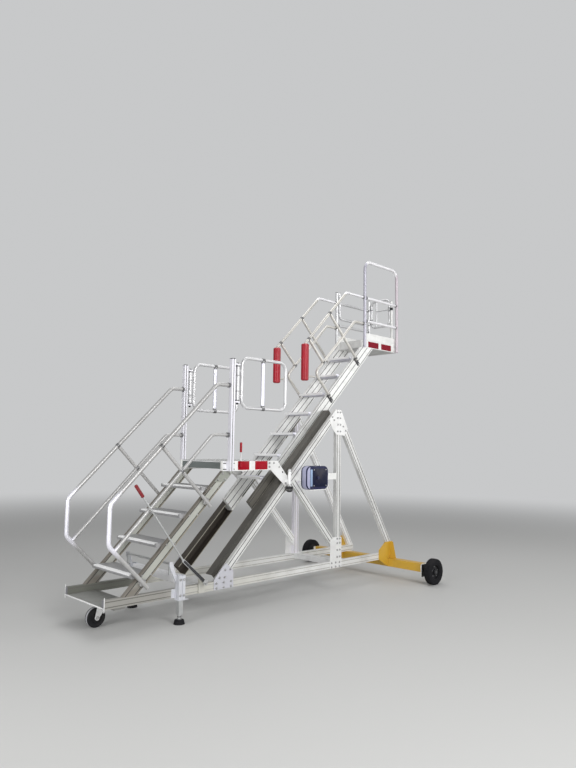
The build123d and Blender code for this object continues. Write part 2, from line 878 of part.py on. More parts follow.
# Jack sleeves on the rails' outer faces, joined by a beam, each with a foot flange and an ear for the shaft
jack_y = plate_outer + sleeve_size / 2
bore_size = leg_size + 2 * leg_gap
sleeve_front_x = jack_x - sleeve_size / 2
sleeve_back_x = jack_x + sleeve_size / 2
with BuildPart() as jack_sleeves:
    add(block((sleeve_front_x, sleeve_back_x), (-plate_outer, plate_outer), (jack_beam_low, jack_beam_high)))
    for name, side in sides:
        with BuildSketch(level_plane(sleeve_bottom)):
            with Locations((jack_x, side * jack_y)):
                Rectangle(sleeve_size, sleeve_size)
                Rectangle(bore_size, bore_size, mode=Mode.SUBTRACT)
            slot_reach = (sleeve_size - groove_depth) / 2
            with Locations((jack_x - slot_reach, side * jack_y), (jack_x + slot_reach, side * jack_y)):
                Rectangle(groove_depth, groove_width, mode=Mode.SUBTRACT)
            with Locations((jack_x, side * (jack_y + slot_reach))):
                Rectangle(groove_width, groove_depth, mode=Mode.SUBTRACT)
        extrude(amount=sleeve_top - sleeve_bottom)
        with BuildSketch(level_plane(sleeve_bottom - plate_thickness)):
            with Locations((jack_x + flange_shift, side * jack_y)):
                Rectangle(flange_length, flange_breadth)
            with Locations((jack_x, side * jack_y)):
                Rectangle(bore_size, bore_size, mode=Mode.SUBTRACT)
        extrude(amount=plate_thickness)
        mount = span(side, rail_outer, plate_outer)
        add(block((jack_x - sleeve_size, jack_x + sleeve_size), mount, (rail_bottom, rail_top)))
        ear_outline = [
            (sleeve_front_x, sleeve_top - ear_depth),
            (sleeve_front_x, sleeve_top),
            (shaft_x + ear_half, shaft_z + ear_half),
            (shaft_x - ear_half, shaft_z + ear_half),
            (shaft_x - ear_half, shaft_z - ear_half),
        ]
        add(side_plate(ear_outline, span(side, plate_outer, plate_outer + ear_thickness)))
save("jack_sleeves", jack_sleeves.part)
with BuildPart() as jack_shaft:
    add(cross_rod(shaft_x, shaft_z, (-plate_outer, plate_outer), shaft_diameter))
    for name, side in sides:
        crank_x = (shaft_x - crank_width / 2, shaft_x + crank_width / 2)
        crank_z = (shaft_z - crank_length, shaft_z + crank_width / 2)
        crank_outer = plate_outer - running_gap
        add(block(crank_x, span(side, crank_outer - ear_thickness, crank_outer), crank_z))
save("jack_shaft", jack_shaft.part)
for name, side in sides:
    y = side * jack_y
    with BuildPart() as jack_leg:
        half = leg_size / 2
        add(block((jack_x - half, jack_x + half), (y - half, y + half), (leg_foot_z, leg_top)))
        add(upright_rod(jack_x, y, (pad_height, leg_foot_z), 2 * pad_stem_radius))
    save(f"jack_leg_{name}", jack_leg.part)
    with BuildPart() as jack_pad:
        with BuildSketch(level_plane(0)):
            with Locations((jack_x, y)):
                Circle(pad_radius)
        extrude(amount=pad_height, taper=pad_taper)
    save(f"jack_pad_{name}", jack_pad.part)

# Jack lever on a pivot beside the near rail: a flat bar, a rod and a grip
lever_inner = rail_outer + lever_stand_off
lever_outer = lever_inner + lever_flat_thickness
bracket_outer = rail_outer + plate_thickness * 2
with BuildPart() as lever_bracket:
    bracket_x = (lever_x - 1.4 * lever_eye_radius, lever_x + 1.4 * lever_eye_radius)
    add(block(bracket_x, span(-1, rail_outer, bracket_outer), (rail_bottom, lever_z + 1.2 * lever_eye_radius)))
    pin_end = lever_outer + lever_pin / 3
    add(cross_rod(lever_x, lever_z, (-pin_end, -bracket_outer), lever_pin))
save("lever_bracket", lever_bracket.part)

knee_run = math.hypot(lever_knee_x - lever_x, lever_knee_z - lever_z)
tip_run = math.hypot(lever_tip_x - lever_knee_x, lever_tip_z - lever_knee_z)
rod_along = ((lever_tip_x - lever_knee_x) / tip_run, (lever_tip_z - lever_knee_z) / tip_run)
grip_start = (lever_tip_x - grip_length * rod_along[0], lever_tip_z - grip_length * rod_along[1])
lever_middle_y = -(lever_inner + lever_outer) / 2
with BuildPart() as jack_lever:
    flat_plane = Plane(
        origin=(front_x + lever_x, -lever_inner, lever_z),
        x_dir=(lever_knee_x - lever_x, 0, lever_knee_z - lever_z),
        z_dir=(0, -1, 0),
    )
    with BuildSketch(flat_plane):
        with Locations((knee_run / 2, 0)):
            SlotCenterToCenter(knee_run, lever_flat)
        Circle(lever_eye_radius)
        Circle(lever_pin / 2 + running_fit, mode=Mode.SUBTRACT)
    extrude(amount=lever_flat_thickness)
    add(tube([(lever_knee_x, lever_knee_z), grip_start], lever_middle_y, lever_rod))
save("jack_lever", jack_lever.part)
with BuildPart() as lever_grip:
    add(tube([grip_start, (lever_tip_x, lever_tip_z)], lever_middle_y, 2 * grip_radius))
    fillet(lever_grip.edges().filter_by(GeomType.CIRCLE), grip_radius / 3)
save("lever_grip", lever_grip.part)

# Upper stringers, deep extrusions with three grooves
upper_half_band = (upper_stringer_low - upper_stringer_high) / 2
upper_offset = (upper_stringer_low + upper_stringer_high) / 2
upper_depth = (upper_stringer_low - upper_stringer_high) / math.sqrt(2)
deck_underside = deck_z - deck_depth
for name, side in sides:
    with BuildPart() as upper_stringer:
        foot = slope(upper_offset, upper_foot_sum, upper_foot_sum, upper_half_band)
        outline = [foot[0], foot[1], at_height(upper_stringer_low, deck_underside)]
        outline += [at_height(upper_stringer_high, deck_underside)]
        ends = (crossing(upper_offset, upper_foot_sum), at_height(upper_offset, deck_underside))
        lines = (0, *edge_grooves(upper_depth))
        add(grooved(outline, span(side, upper_half - stringer_width, upper_half), *ends, lines))
    save(f"upper_stringer_{name}", upper_stringer.part)

# Slide shoes on the stringers' outer faces, running between the guide bars
with BuildPart() as slide_shoes:
    for name, side in sides:
        for total in shoe_sums:
            shoe = slope(track_offset, total, total + shoe_reach, track_half - track_wall - running_gap)
            add(side_plate(shoe, span(side, upper_half, track_web_y - running_gap)))
save("slide_shoes", slide_shoes.part)

# Upper treads
with BuildPart() as upper_treads:
    for step in range(upper_tread_count):
        lift = step - upper_treads_below
        nose = (upper_nose_x + lift * going, upper_nose_z + lift * riser)
        add(tread(*nose, upper_half - stringer_width, upper_nosing_half, upper_nosing_height))
save("upper_treads", upper_treads.part)

# Upper handrails with a sleeve at the lower end
upper_mid_low = upper_strut_sums[0] - upper_mid_lead
rail_y = upper_half + guard_tube / 2
upper_hand_top, upper_mid_top = guard_rail_heights[1], guard_rail_heights[0] - mid_rail_drop
foot_offset = upper_stringer_high + upper_rail_foot
rail_end_x = hoop_front_x - rail_tube / 2
low_bar_z = sleeve_low + upper_bar_rise
low_bar_end = low_bar_z + upper_midrail_offset + upper_bar_reach
low_bar = [(upper_front_x, low_bar_z), (low_bar_end, low_bar_z)]
for name, side in sides:
    with BuildPart() as upper_handrail:
        y = side * rail_y
        add(tube(
            [
                (upper_front_x, sleeve_low),
                (upper_front_x, upper_front_x - upper_handrail_offset),
                (upper_hand_top + upper_handrail_offset, upper_hand_top),
                (rail_end_x, upper_hand_top),
            ],
            y,
            guard_tube,
            upper_bend,
        ))
        add(tube(
            [
                crossing(foot_offset, upper_mid_low),
                crossing(upper_midrail_offset, upper_mid_low),
                (upper_mid_top + upper_midrail_offset, upper_mid_top),
                (rail_end_x, upper_mid_top),
            ],
            y,
            guard_tube,
            upper_bend,
        ))
        for total, end in zip(upper_strut_sums, (upper_midrail_offset, foot_offset)):
            add(tube([crossing(upper_handrail_offset, total), crossing(end, total)], y, guard_tube))
        add(tube(low_bar, y, upper_bar_tube))
    save(f"upper_handrail_{name}", upper_handrail.part)

with BuildPart() as handrail_sleeves:
    for name, side in sides:
        with BuildSketch(level_plane(sleeve_low)):
            with Locations((upper_front_x, side * rail_y)):
                Circle(sleeve_diameter / 2)
                Circle(guard_tube / 2, mode=Mode.SUBTRACT)
        extrude(amount=sleeve_high - sleeve_low)
        add(tube(low_bar, side * rail_y, upper_bar_tube), mode=Mode.SUBTRACT)
save("handrail_sleeves", handrail_sleeves.part)

# Upper platform: deck on a grooved frame, closed below by a pan, with toe boards and the gate's post
with BuildPart() as top_deck:
    deck_low = deck_z - plate_thickness
    deck_x = (deck_front_x, deck_back_x)
    add(block(deck_x, (-upper_half, upper_half), (deck_low, deck_z)))
    beam_middle = (deck_underside + deck_low) / 2
    for name, side in sides:
        outline = [(deck_x[0], deck_underside), (deck_x[1], deck_underside)]
        outline += [(deck_x[1], deck_low), (deck_x[0], deck_low)]
        edge_span = span(side, upper_half - stringer_width, upper_half)
        ends = ((deck_x[0], beam_middle), (deck_x[1], beam_middle))
        add(grooved(outline, edge_span, *ends, edge_grooves(deck_low - deck_underside)))
        toe_span = span(side, upper_half - plate_thickness, upper_half)
        add(block((hoop_front_x, deck_back_x), toe_span, (deck_z, deck_z + toe_height)))
    inner = (stringer_width - upper_half, upper_half - stringer_width)
    for x in (deck_front_x, deck_back_x - nosing_depth):
        add(block((x, x + nosing_depth), inner, (deck_underside, deck_low)))
    add(block(deck_x, inner, (deck_underside, deck_underside + deck_pan)))
    add(upright_rod(hoop_back_x, gate_post_y, (deck_z, gate_post_top), guard_tube))
save("top_deck", top_deck.part)

# Near side hoop with two rails
guard_y = upper_half + rail_tube / 2
with BuildPart() as top_hoop_near:
    hoop = [(hoop_front_x, deck_underside), (hoop_front_x, hoop_top)]
    hoop += [(hoop_back_x, hoop_top), (hoop_back_x, deck_underside)]
    add(tube(hoop, -guard_y, rail_tube, hoop_bend))
    for z in guard_rail_heights:
        add(tube([(hoop_front_x, z), (hoop_back_x, z)], -guard_y, guard_tube))
save("top_hoop_near", top_hoop_near.part)

# Far side guard: a front post pair whose second tube bends into a rail, and two hinge lugs for the rear gate
gate_hinge_y = upper_half - gate_tube / 2 - gate_hinge_gap
with BuildPart() as top_guard_far:
    for z_low in gate_lug_zs:
        lug_y = (gate_hinge_y + gate_tube / 2 + running_gap, guard_y)
        lug_x = (hoop_back_x - gate_lug_half, hoop_back_x + gate_lug_half)
        add(block(lug_x, lug_y, (z_low, z_low + gate_lug_height)))
    for x in (hoop_front_x, hoop_back_x):
        add(tube([(x, deck_underside), (x, far_post_top)], guard_y, rail_tube))
    for z in guard_rail_heights:
        add(tube([(hoop_front_x, z), (hoop_back_x, z)], guard_y, guard_tube))
    pair_x = hoop_front_x + far_pair_gap
    loop = [(pair_x, far_post_top), (pair_x, far_loop_z), (hoop_back_x, far_loop_z)]
    add(tube(loop, guard_y, guard_tube, far_loop_bend))
    pair_cap = (far_post_top - gate_lug_height, far_post_top)
    add(block((hoop_front_x, pair_x), (guard_y - gate_lug_half, guard_y + gate_lug_half), pair_cap))
save("top_guard_far", top_guard_far.part)

# Rear gate across the upper platform: a rounded loop with an upright bar and a latch bar
with BuildPart() as top_gate:
    gate_plane = cross_plane(hoop_back_x)
    corners = [(gate_latch_y, gate_low), (gate_hinge_y, gate_low)]
    corners += [(gate_hinge_y, gate_high), (gate_latch_y, gate_high)]
    add(tube(corners, 0, gate_tube, gate_bend, closed=True, plane=gate_plane))
    add(tube([(gate_bar_y, gate_low), (gate_bar_y, gate_high)], 0, bar_tube, plane=gate_plane))
    add(tube([(gate_latch_y, gate_latch_z), (gate_bar_y, gate_latch_z)], 0, gate_latch_tube, plane=gate_plane))
save("top_gate", top_gate.part)
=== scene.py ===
"""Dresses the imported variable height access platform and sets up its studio.

Metres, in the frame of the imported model: +X from the front step towards the rear axle, +Y towards the far side,
+Z up. Lengths called x in the classes below run from the front edge of the base rails.
"""
import json
import logging
import math
from dataclasses import dataclass
from enum import Enum
from itertools import product
from typing import Iterable, NamedTuple, Sequence

import bmesh
import bpy
from mathutils import Matrix, Vector


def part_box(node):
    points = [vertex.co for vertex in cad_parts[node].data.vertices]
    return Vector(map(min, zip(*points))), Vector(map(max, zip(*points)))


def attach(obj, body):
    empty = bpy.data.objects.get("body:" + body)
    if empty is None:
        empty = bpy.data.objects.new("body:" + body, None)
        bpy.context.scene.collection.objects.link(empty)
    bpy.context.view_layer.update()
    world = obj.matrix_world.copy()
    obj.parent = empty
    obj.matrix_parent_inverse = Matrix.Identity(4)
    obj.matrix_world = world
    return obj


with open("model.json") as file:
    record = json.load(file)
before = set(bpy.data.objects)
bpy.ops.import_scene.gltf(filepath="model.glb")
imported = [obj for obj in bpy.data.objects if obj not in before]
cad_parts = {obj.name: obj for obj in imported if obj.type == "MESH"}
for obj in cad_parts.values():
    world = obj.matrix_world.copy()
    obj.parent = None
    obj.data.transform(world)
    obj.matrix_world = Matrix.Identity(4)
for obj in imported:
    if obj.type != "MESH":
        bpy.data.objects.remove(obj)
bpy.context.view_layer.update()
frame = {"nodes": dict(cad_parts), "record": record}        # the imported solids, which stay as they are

log = logging.getLogger("access_platform")
FRONT_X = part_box("base_rail_near")[0].x
SLOPE_DEG = 45.0         # how steep the stairs and the tracks climb
CORNER_STEPS = 4         # faces round a quarter of a circle in a rounded outline
WELD = 0.00002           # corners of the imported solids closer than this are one
EASED_DEG = 35           # a new shape's edges sharper than this are rounded
PIECE_SHARP_DEG = 32     # edges sharper than this stay sharp on an added piece
SOLID_SHARP_DEG = 28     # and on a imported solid
UP = Vector((0.0, 0.0, 1.0))
BACK = Vector((1.0, 0.0, 0.0))
ACROSS = Vector((0.0, 1.0, 0.0))
SLOPE = Vector((1.0, 0.0, 1.0)).normalized()
FALL = Vector((1.0, 0.0, -1.0)).normalized()
Colour = tuple[float, float, float]
Run = tuple[float, float]                # two lengths: x and z of a point, the ends of a range, a width and a height
Size = tuple[float, float, float]        # three lengths, as inner radius, outer radius and width of a ring
Spot = tuple[Vector, Vector, Vector]     # a point, the direction a shape stands along and the one it lies along
Node = bpy.types.Node
Socket = bpy.types.NodeSocket


class Side(Enum):
    """The stand's two long sides."""

    NEAR = -1
    FAR = 1

    @property
    def word(self) -> str:
        """The side as piece names spell it."""
        return self.name.lower()


class Body(Enum):
    """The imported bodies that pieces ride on."""

    FRAME = "frame"
    STAIR = "upper_stair"
    GATE = "rear_gate"
    CASTER = "caster_swivel"
    CASTER_WHEEL = "caster_roll"
    LEVER = "jack_handle"
    WHEEL_NEAR = "rear_wheel_near"
    WHEEL_FAR = "rear_wheel_far"
    JACK_NEAR = "jack_near"
    JACK_FAR = "jack_far"
    GUARD_NEAR = "guard_near"
    GUARD_FAR = "guard_far"


def at(x: float, y: float, z: float) -> Vector:
    """A point from its distance behind the rails' front edge, its distance from the middle and its height."""
    return Vector((FRONT_X + x, y, z))


def outward(side: Side) -> Vector:
    """The direction out from the stand's middle on one side."""
    return Vector((0.0, float(side.value), 0.0))


def on_slope(offset: float, z: float) -> Run:
    """The x and z of a point at height z on the 45 degree line where x less z is offset."""
    return (offset + z, z)


def crossing(offset: float, total: float) -> Run:
    """The x and z where x less z is offset and x plus z is total."""
    return ((total + offset) / 2, (total - offset) / 2)


def flat(start: float, end: float, y: float, side: Side) -> Run:
    """Two distances from the middle on one side, in rising order."""
    first, second = sorted((side.value * (y + start), side.value * (y + end)))
    return (first, second)


def rounded(low: Run, high: Run, radius: float) -> list[Run]:
    """The outline of a rectangle with round corners.

    Args:
        low: its low corner.
        high: its high corner.
        radius: the radius of its corners.

    Returns:
        The points in order.
    """
    middles = (
        (high[0] - radius, high[1] - radius), (low[0] + radius, high[1] - radius),
        (low[0] + radius, low[1] + radius), (high[0] - radius, low[1] + radius),
    )
    points = []
    for quarter, (a, b) in enumerate(middles):
        for step in range(CORNER_STEPS + 1):
            turn = math.radians(90 * (quarter + step / CORNER_STEPS))
            points.append((a + radius * math.cos(turn), b + radius * math.sin(turn)))
    return points


class Graph:
    """A node tree that is written in short calls."""

    def __init__(self, tree: bpy.types.NodeTree) -> None:
        """Empties the tree and keeps it.

        Args:
            tree: the shader or geometry tree to build in.
        """
        self.tree = tree
        tree.nodes.clear()

    def add(self, kind: str, inputs: dict | None = None, **settings: object) -> Node:
        """Adds a node.

        Args:
            kind: the node's type name.
            inputs: values or output sockets by input name or number.
            **settings: the node's own properties.

        Returns:
            The new node.
        """
        node = self.tree.nodes.new(kind)
        for key, value in settings.items():
            setattr(node, key, value)
        for key, value in (inputs or {}).items():
            socket = node.inputs[key]
            if isinstance(value, Socket):
                self.tree.links.new(value, socket)
            else:
                socket.default_value = value
        return node

    def turned(self, place: object, tilt_deg: float, scale: Colour = (1.0, 1.0, 1.0)) -> Socket:
        """A place turned about the Y axis and stretched."""
        inputs = {"Vector": place, "Rotation": (0.0, math.radians(tilt_deg), 0.0), "Scale": scale}
        return self.add("ShaderNodeMapping", inputs).outputs["Vector"]

    def noise(self, place: object, scale: float, detail: float, roughness: float) -> Socket:
        """Noise between 0 and 1 over a place."""
        inputs = {"Vector": place, "Scale": scale, "Detail": detail, "Roughness": roughness}
        return self.add("ShaderNodeTexNoise", inputs).outputs["Fac"]

    def remap(
        self, value: object, start: Run = (0.0, 1.0), end: Sequence[object] = (0.0, 1.0), **settings: object
    ) -> Socket:
        """Moves a value from one range to another and keeps it in there.

        Args:
            value: the socket to move.
            start: the range that it comes from.
            end: the range that it goes to.
            **settings: the node's own properties.

        Returns:
            The moved value's socket.
        """
        inputs = {"Value": value, "From Min": start[0], "From Max": start[1], "To Min": end[0], "To Max": end[1]}
        return self.add("ShaderNodeMapRange", inputs, **settings).outputs["Result"]

    def mix(self, share: object, first: object, second: object) -> Socket:
        """A blend of two colours, where share 0 is the first and share 1 the second."""
        return self.add("ShaderNodeMix", {0: share, 6: first, 7: second}, data_type="RGBA").outputs[2]


class Zone(NamedTuple):
    """Another colour that a finish changes to along an axis of the model.

    The axis is X, Y, Z, or A for the height across the 45 degree slope. The change starts at one reach along it and
    is full at the other. A mirrored zone is alike on both sides of the axis's zero.
    """

    axis: str
    start: float
    full: float
    colour: Colour
    mirrored: bool = False

    def reach(self, graph: Graph, place: Socket) -> Socket:
        """How far a place lies along the axis.

        Args:
            graph: where the nodes go.
            place: the place's socket.

        Returns:
            The reach's socket.
        """
        across = self.axis == "A"
        seen = graph.turned(place, SLOPE_DEG if across else 0.0)
        reach = graph.add("ShaderNodeSeparateXYZ", {"Vector": seen}).outputs["Z" if across else self.axis]
        if self.mirrored:
            reach = graph.add("ShaderNodeMath", {0: reach}, operation="ABSOLUTE").outputs[0]
        return reach


@dataclass(frozen=True)
class Finish:
    """A surface with a grain, a little soiling and a fine bump, made of nodes on Object coordinates."""

    name: str
    colour: Colour
    metallic: float = 0.0
    roughness: float = 0.5
    coat: float = 0.0
    specular: float = 0.5
    tilt_deg: float = 0.0
    grain: Colour = (1.0, 1.0, 1.0)
    grain_scale: float = 60.0
    grain_depth: float = 0.06
    gloss_spread: Run = (-0.06, 0.08)
    bump: float = 0.0004
    soil: Colour = (0.16, 0.14, 0.12)
    soil_amount: float = 0.25
    soil_scale: float = 5.0
    soil_edges: Run = (0.48, 0.78)
    chip: Colour | None = None
    chip_scale: float = 38.0
    chip_edges: Run = (0.69, 0.71)
    zones: tuple[Zone, ...] = ()

    def material(self) -> bpy.types.Material:
        """The material, built once.

        Returns:
            The material of this finish.
        """
        title = "finish_" + self.name
        made = bpy.data.materials.get(title)
        if made is not None:
            return made
        made = bpy.data.materials.new(title)
        made.use_nodes = True
        graph = Graph(made.node_tree)
        place = graph.add("ShaderNodeTexCoord").outputs["Object"]
        grain = graph.noise(graph.turned(place, self.tilt_deg, self.grain), self.grain_scale, 4.0, 0.6)
        spread = tuple(self.roughness + part for part in self.gloss_spread)
        relief = graph.add("ShaderNodeBump", {"Height": grain, "Distance": self.bump, "Strength": 0.6})
        shader = graph.add(
            "ShaderNodeBsdfPrincipled",
            {
                "Base Color": self._painted(graph, place, grain),
                "Metallic": self.metallic,
                "Roughness": graph.remap(grain, end=spread),
                "Specular IOR Level": self.specular,
                "Coat Weight": self.coat,
                "Coat Roughness": 0.2,
                "Normal": relief.outputs["Normal"],
            },
        )
        graph.add("ShaderNodeOutputMaterial", {"Surface": shader.outputs["BSDF"]})
        return made

    def _painted(self, graph: Graph, place: Socket, grain: Socket) -> Socket:
        """The colour with its grain, soiling, chips and zones.

        Args:
            graph: where the nodes go.
            place: the place's socket.
            grain: the grain's socket.

        Returns:
            The colour's socket.
        """
        light = tuple(min(1.0, c * (1 + self.grain_depth)) for c in self.colour) + (1.0,)
        dark = tuple(c * (1 - self.grain_depth) for c in self.colour) + (1.0,)
        patches = graph.noise(place, self.soil_scale, 6.0, 0.65)
        soiled = graph.remap(patches, self.soil_edges, (0.0, self.soil_amount))
        base = graph.mix(soiled, graph.mix(grain, dark, light), self.soil + (1.0,))
        if self.chip is not None:
            chipped = graph.remap(graph.noise(place, self.chip_scale, 5.0, 0.7), self.chip_edges)
            base = graph.mix(chipped, base, self.chip + (1.0,))
        for zone in self.zones:
            share = graph.remap(zone.reach(graph, place), (zone.start, zone.full))
            base = graph.mix(share, base, zone.colour + (1.0,))
        return base


ALUMINIUM = (0.80, 0.80, 0.785)
PALE = (0.88, 0.88, 0.88)
# painted light: the colour of lit level tubes
BRIGHT = (0.93, 0.92, 0.95)
DEEP_RED = (0.36, 0.004, 0.016)


def extrusion(name: str, tilt_deg: float, colour: Colour = ALUMINIUM, **more: object) -> Finish:
    """The finish of a bar, with die lines along it.

    Args:
        name: the finish's name.
        tilt_deg: how far the bar climbs from level.
        colour: its colour.
        **more: other fields of the finish.

    Returns:
        The finish.
    """
    usual = {"metallic": 0.3, "roughness": 0.4, "soil_amount": 0.3}
    return Finish(name, colour, tilt_deg=tilt_deg, grain=(1.0, 22.0, 22.0), grain_scale=14.0, **(usual | more))


def crosswise(name: str, colour: Colour, metallic: float, roughness: float, **more: object) -> Finish:
    """The finish of a tread or a beam, with its grain across the stand."""
    return Finish(name, colour, metallic, roughness, grain=(22.0, 1.0, 22.0), grain_scale=12.0, **more)


def drawn(name: str, colour: Colour, metallic: float, roughness: float, **more: object) -> Finish:
    """The smooth finish of a tube."""
    return Finish(name, colour, metallic, roughness, grain_scale=24.0, bump=0.00008, **more)


def far_side_painted_light(colour: Colour) -> Zone:
    """Painted light and shade on the far side: another colour from the middle on, for a node that holds the bars of
    both sides.
    """
    return Zone("Y", 0.0, 0.001, colour)


TRACK_LIP = Zone("Y", 0.2365, 0.236, (0.36, 0.34, 0.28), mirrored=True)
RAIL_SHADE = Zone("X", 0.2, -0.9, (0.60, 0.59, 0.54))

LEVEL_BAR = extrusion("extrusion_level", 0.0)
RISING_BAR = extrusion("extrusion_rising", SLOPE_DEG)
# painted light: the far side's braces are lighter, to look as brightly lit as the near side's
BRACE_BAR = extrusion("brace_bar", -58.0, soil_amount=0.2, zones=(far_side_painted_light((0.95, 0.95, 0.95)),))
# painted shadow on the front beam's front face and a painted highlight on the top faces; the outer faces are a little
# lighter
PLATFORM_BAR = extrusion(
    "platform_bar", 0.0,
    zones=(
        Zone("X", -0.889, -0.8892, (0.20, 0.225, 0.22)), Zone("Z", 1.4935, 1.4937, (0.90, 0.90, 0.92)),
        Zone("Y", 0.366, 0.3662, (0.86, 0.86, 0.86), mirrored=True),
    ),
)
# painted shade: the tracks are dark like the shadow in their channels, darker still on the far side; the outer lip
# stays lighter
TRACK_BAR = extrusion(
    "shaded_track", SLOPE_DEG, (0.06, 0.057, 0.05), metallic=0.2, roughness=0.55,
    zones=(far_side_painted_light((0.042, 0.034, 0.027)), TRACK_LIP),
)
# painted shade: the guide bars are dark like the shadow in the channels, darker still on the far side
GUIDE_BAR = extrusion(
    "shaded_guide", SLOPE_DEG, (0.11, 0.105, 0.095), roughness=0.5, soil_amount=0.5,
    zones=(far_side_painted_light((0.06, 0.05, 0.04)), TRACK_LIP),
)
# darker below the middle platform: partly painted shade, partly dirt
STAIR_BAR = extrusion(
    "stair_bar", SLOPE_DEG, (0.74, 0.745, 0.73), metallic=0.45, roughness=0.38, soil_amount=0.35,
    zones=(Zone("Z", 1.46, 1.34, (0.17, 0.16, 0.14)),),
)
STRINGER_BAR = extrusion(
    "stringer_bar", SLOPE_DEG, (0.34, 0.31, 0.25), metallic=0.4, roughness=0.42, soil_amount=0.4,
    soil=(0.26, 0.22, 0.18),
    zones=(
        Zone("A", 1.5685, 1.5695, (0.50, 0.505, 0.46)), Zone("A", 1.6302, 1.6312, (0.22, 0.20, 0.17)),
        Zone("Z", 0.46, 0.36, (0.25, 0.23, 0.20)),
    ),
)
POST_BAR = extrusion("post_bar", 90.0, (0.87, 0.86, 0.92), roughness=0.36, soil_amount=0.15)
# painted light: the far upright is lighter and lavender, as it looks lit
UPRIGHT_PAIR = extrusion(
    "upright_pair", 90.0, metallic=0.35, soil_amount=0.25, zones=(far_side_painted_light((0.88, 0.86, 0.92)),)
)
# painted shade: RAIL_SHADE darkens the rails towards the front, and a second zone darker still at the front end, the
# far rail's most
RAIL_BAR = extrusion(
    "rail_bar", 0.0, soil_amount=0.35, zones=(RAIL_SHADE, Zone("X", -1.30, -1.60, (0.35, 0.34, 0.315)))
)
FAR_RAIL_BAR = extrusion(
    "far_rail_bar", 0.0, soil_amount=0.35, zones=(RAIL_SHADE, Zone("X", -1.20, -1.55, (0.18, 0.185, 0.16)))
)
# painted light: the joining beam between the sleeves is lighter than the sleeves
SLEEVE_BAR = extrusion(
    "sleeve_bar", 90.0, (0.66, 0.67, 0.71), metallic=0.25, soil_amount=0.25,
    zones=(Zone("Y", 0.375, 0.374, (0.95, 0.95, 0.97), mirrored=True),),
)
TREAD = crosswise("tread_aluminium", (0.44, 0.44, 0.45), 0.55, 0.42, soil_amount=0.4)
UPPER_TREAD = crosswise("upper_tread", (0.78, 0.78, 0.85), 0.3, 0.4, soil_amount=0.3)
BRIGHT_BEAM = crosswise("bright_beam", PALE, 0.25, 0.4)
# painted shade: the cross members are darker towards the front end
CROSS_BAR = crosswise("cross_bar", PALE, 0.25, 0.4, zones=(Zone("X", -1.2, -1.5, (0.33, 0.325, 0.31)),))
TUBE = drawn("handrail_tube", (0.70, 0.70, 0.71), 0.55, 0.33, grain_depth=0.015, soil_amount=0.2)
# a shaded copy of the handrail tube: painted shade on the sloping lower handrails, with a painted highlight on their
# front uprights
STAIR_TUBE = drawn(
    "stair_tube", (0.50, 0.495, 0.49), 0.55, 0.42, grain_depth=0.015, soil_amount=0.3,
    zones=(Zone("X", -2.08, -2.15, (0.86, 0.85, 0.92)),),
)
# a lit copy of the handrail tube: painted light on the level hoop rails, with painted shade on its legs
HOOP_TUBE = drawn(
    "hoop_tube", BRIGHT, 0.25, 0.35, soil_amount=0.15,
    zones=(Zone("X", 1.515, 1.512, (0.50, 0.49, 0.56)), Zone("X", 2.165, 2.168, (0.56, 0.50, 0.54))),
)
# painted shade on the sloping upper handrails, and painted light on their level top part
UPPER_TUBE = drawn(
    "upper_tube", (0.66, 0.64, 0.60), 0.5, 0.36, soil_amount=0.2, zones=(Zone("Z", 3.59, 3.605, BRIGHT),)
)
BAR_SLEEVE = drawn("bar_sleeve", (0.78, 0.78, 0.86), 0.6, 0.3, soil_amount=0.15)
PLATE = Finish("mill_plate", (0.70, 0.70, 0.69), 0.7, 0.4, grain_scale=30.0, soil_amount=0.3)
JOINT_PLATE = Finish(
    "joint_plate", (0.86, 0.86, 0.85), 0.3, 0.42, grain_scale=40.0, soil_amount=0.2,
    zones=(Zone("X", -0.60, -0.62, (0.60, 0.60, 0.65)), Zone("A", 1.35, 1.37, (0.33, 0.34, 0.30))),
)
CHECKER = Finish("checker_plate", (0.27, 0.275, 0.26), 0.35, 0.6, grain_scale=45.0, soil_amount=0.55, soil_scale=7.0)
NOSING = Finish("bright_nosing", (0.93, 0.93, 0.93), 0.15, 0.35, grain_scale=90.0, soil_amount=0.15)
ZINC = Finish("zinc_plate", (0.60, 0.61, 0.61), 0.8, 0.36, grain_scale=70.0, grain_depth=0.12, soil_amount=0.3)
BOLT = Finish("bolt_steel", (0.50, 0.50, 0.50), 0.9, 0.34, grain_scale=160.0)
DARK = Finish(
    "dark_steel", (0.045, 0.045, 0.05), 0.4, 0.45, grain_scale=90.0, soil=(0.2, 0.18, 0.16), soil_amount=0.2
)
DARK_ZINC = Finish("clamp_steel", (0.20, 0.20, 0.205), 0.7, 0.42, grain_scale=110.0, soil_amount=0.3)
GREY_CAP = Finish("grey_cap", (0.20, 0.20, 0.215), 0.0, 0.5, grain_scale=80.0, soil_amount=0.3)
WHITE = Finish("white_cap", (0.90, 0.90, 0.88), 0.0, 0.42, grain_scale=80.0, grain_depth=0.02, soil_amount=0.3)
BLACK = Finish(
    "black_plastic", (0.018, 0.018, 0.020), 0.0, 0.4, specular=0.3, grain_scale=180.0, soil=(0.2, 0.19, 0.18),
    soil_amount=0.12,
)
# painted shade in the grooves: dark strips that stand for the grooves' shadow; the pale ones for grooves that show
# little shadow, darker towards the front end
GROOVE_SHADE = Finish(
    "groove_shade", (0.045, 0.045, 0.043), 0.0, 0.6, grain_scale=60.0, soil=(0.15, 0.14, 0.12), soil_amount=0.4
)
PALE_GROOVE_SHADE = Finish(
    "pale_groove_shade", (0.46, 0.45, 0.42), 0.0, 0.6, grain_scale=60.0, soil_amount=0.4,
    zones=(Zone("X", -1.30, -1.60, (0.15, 0.145, 0.13)),),
)
RUBBER = Finish(
    "black_rubber", (0.010, 0.010, 0.012), 0.0, 0.75, specular=0.15, grain_scale=130.0, bump=0.0008,
    soil=(0.1, 0.09, 0.085), soil_amount=0.2,
)
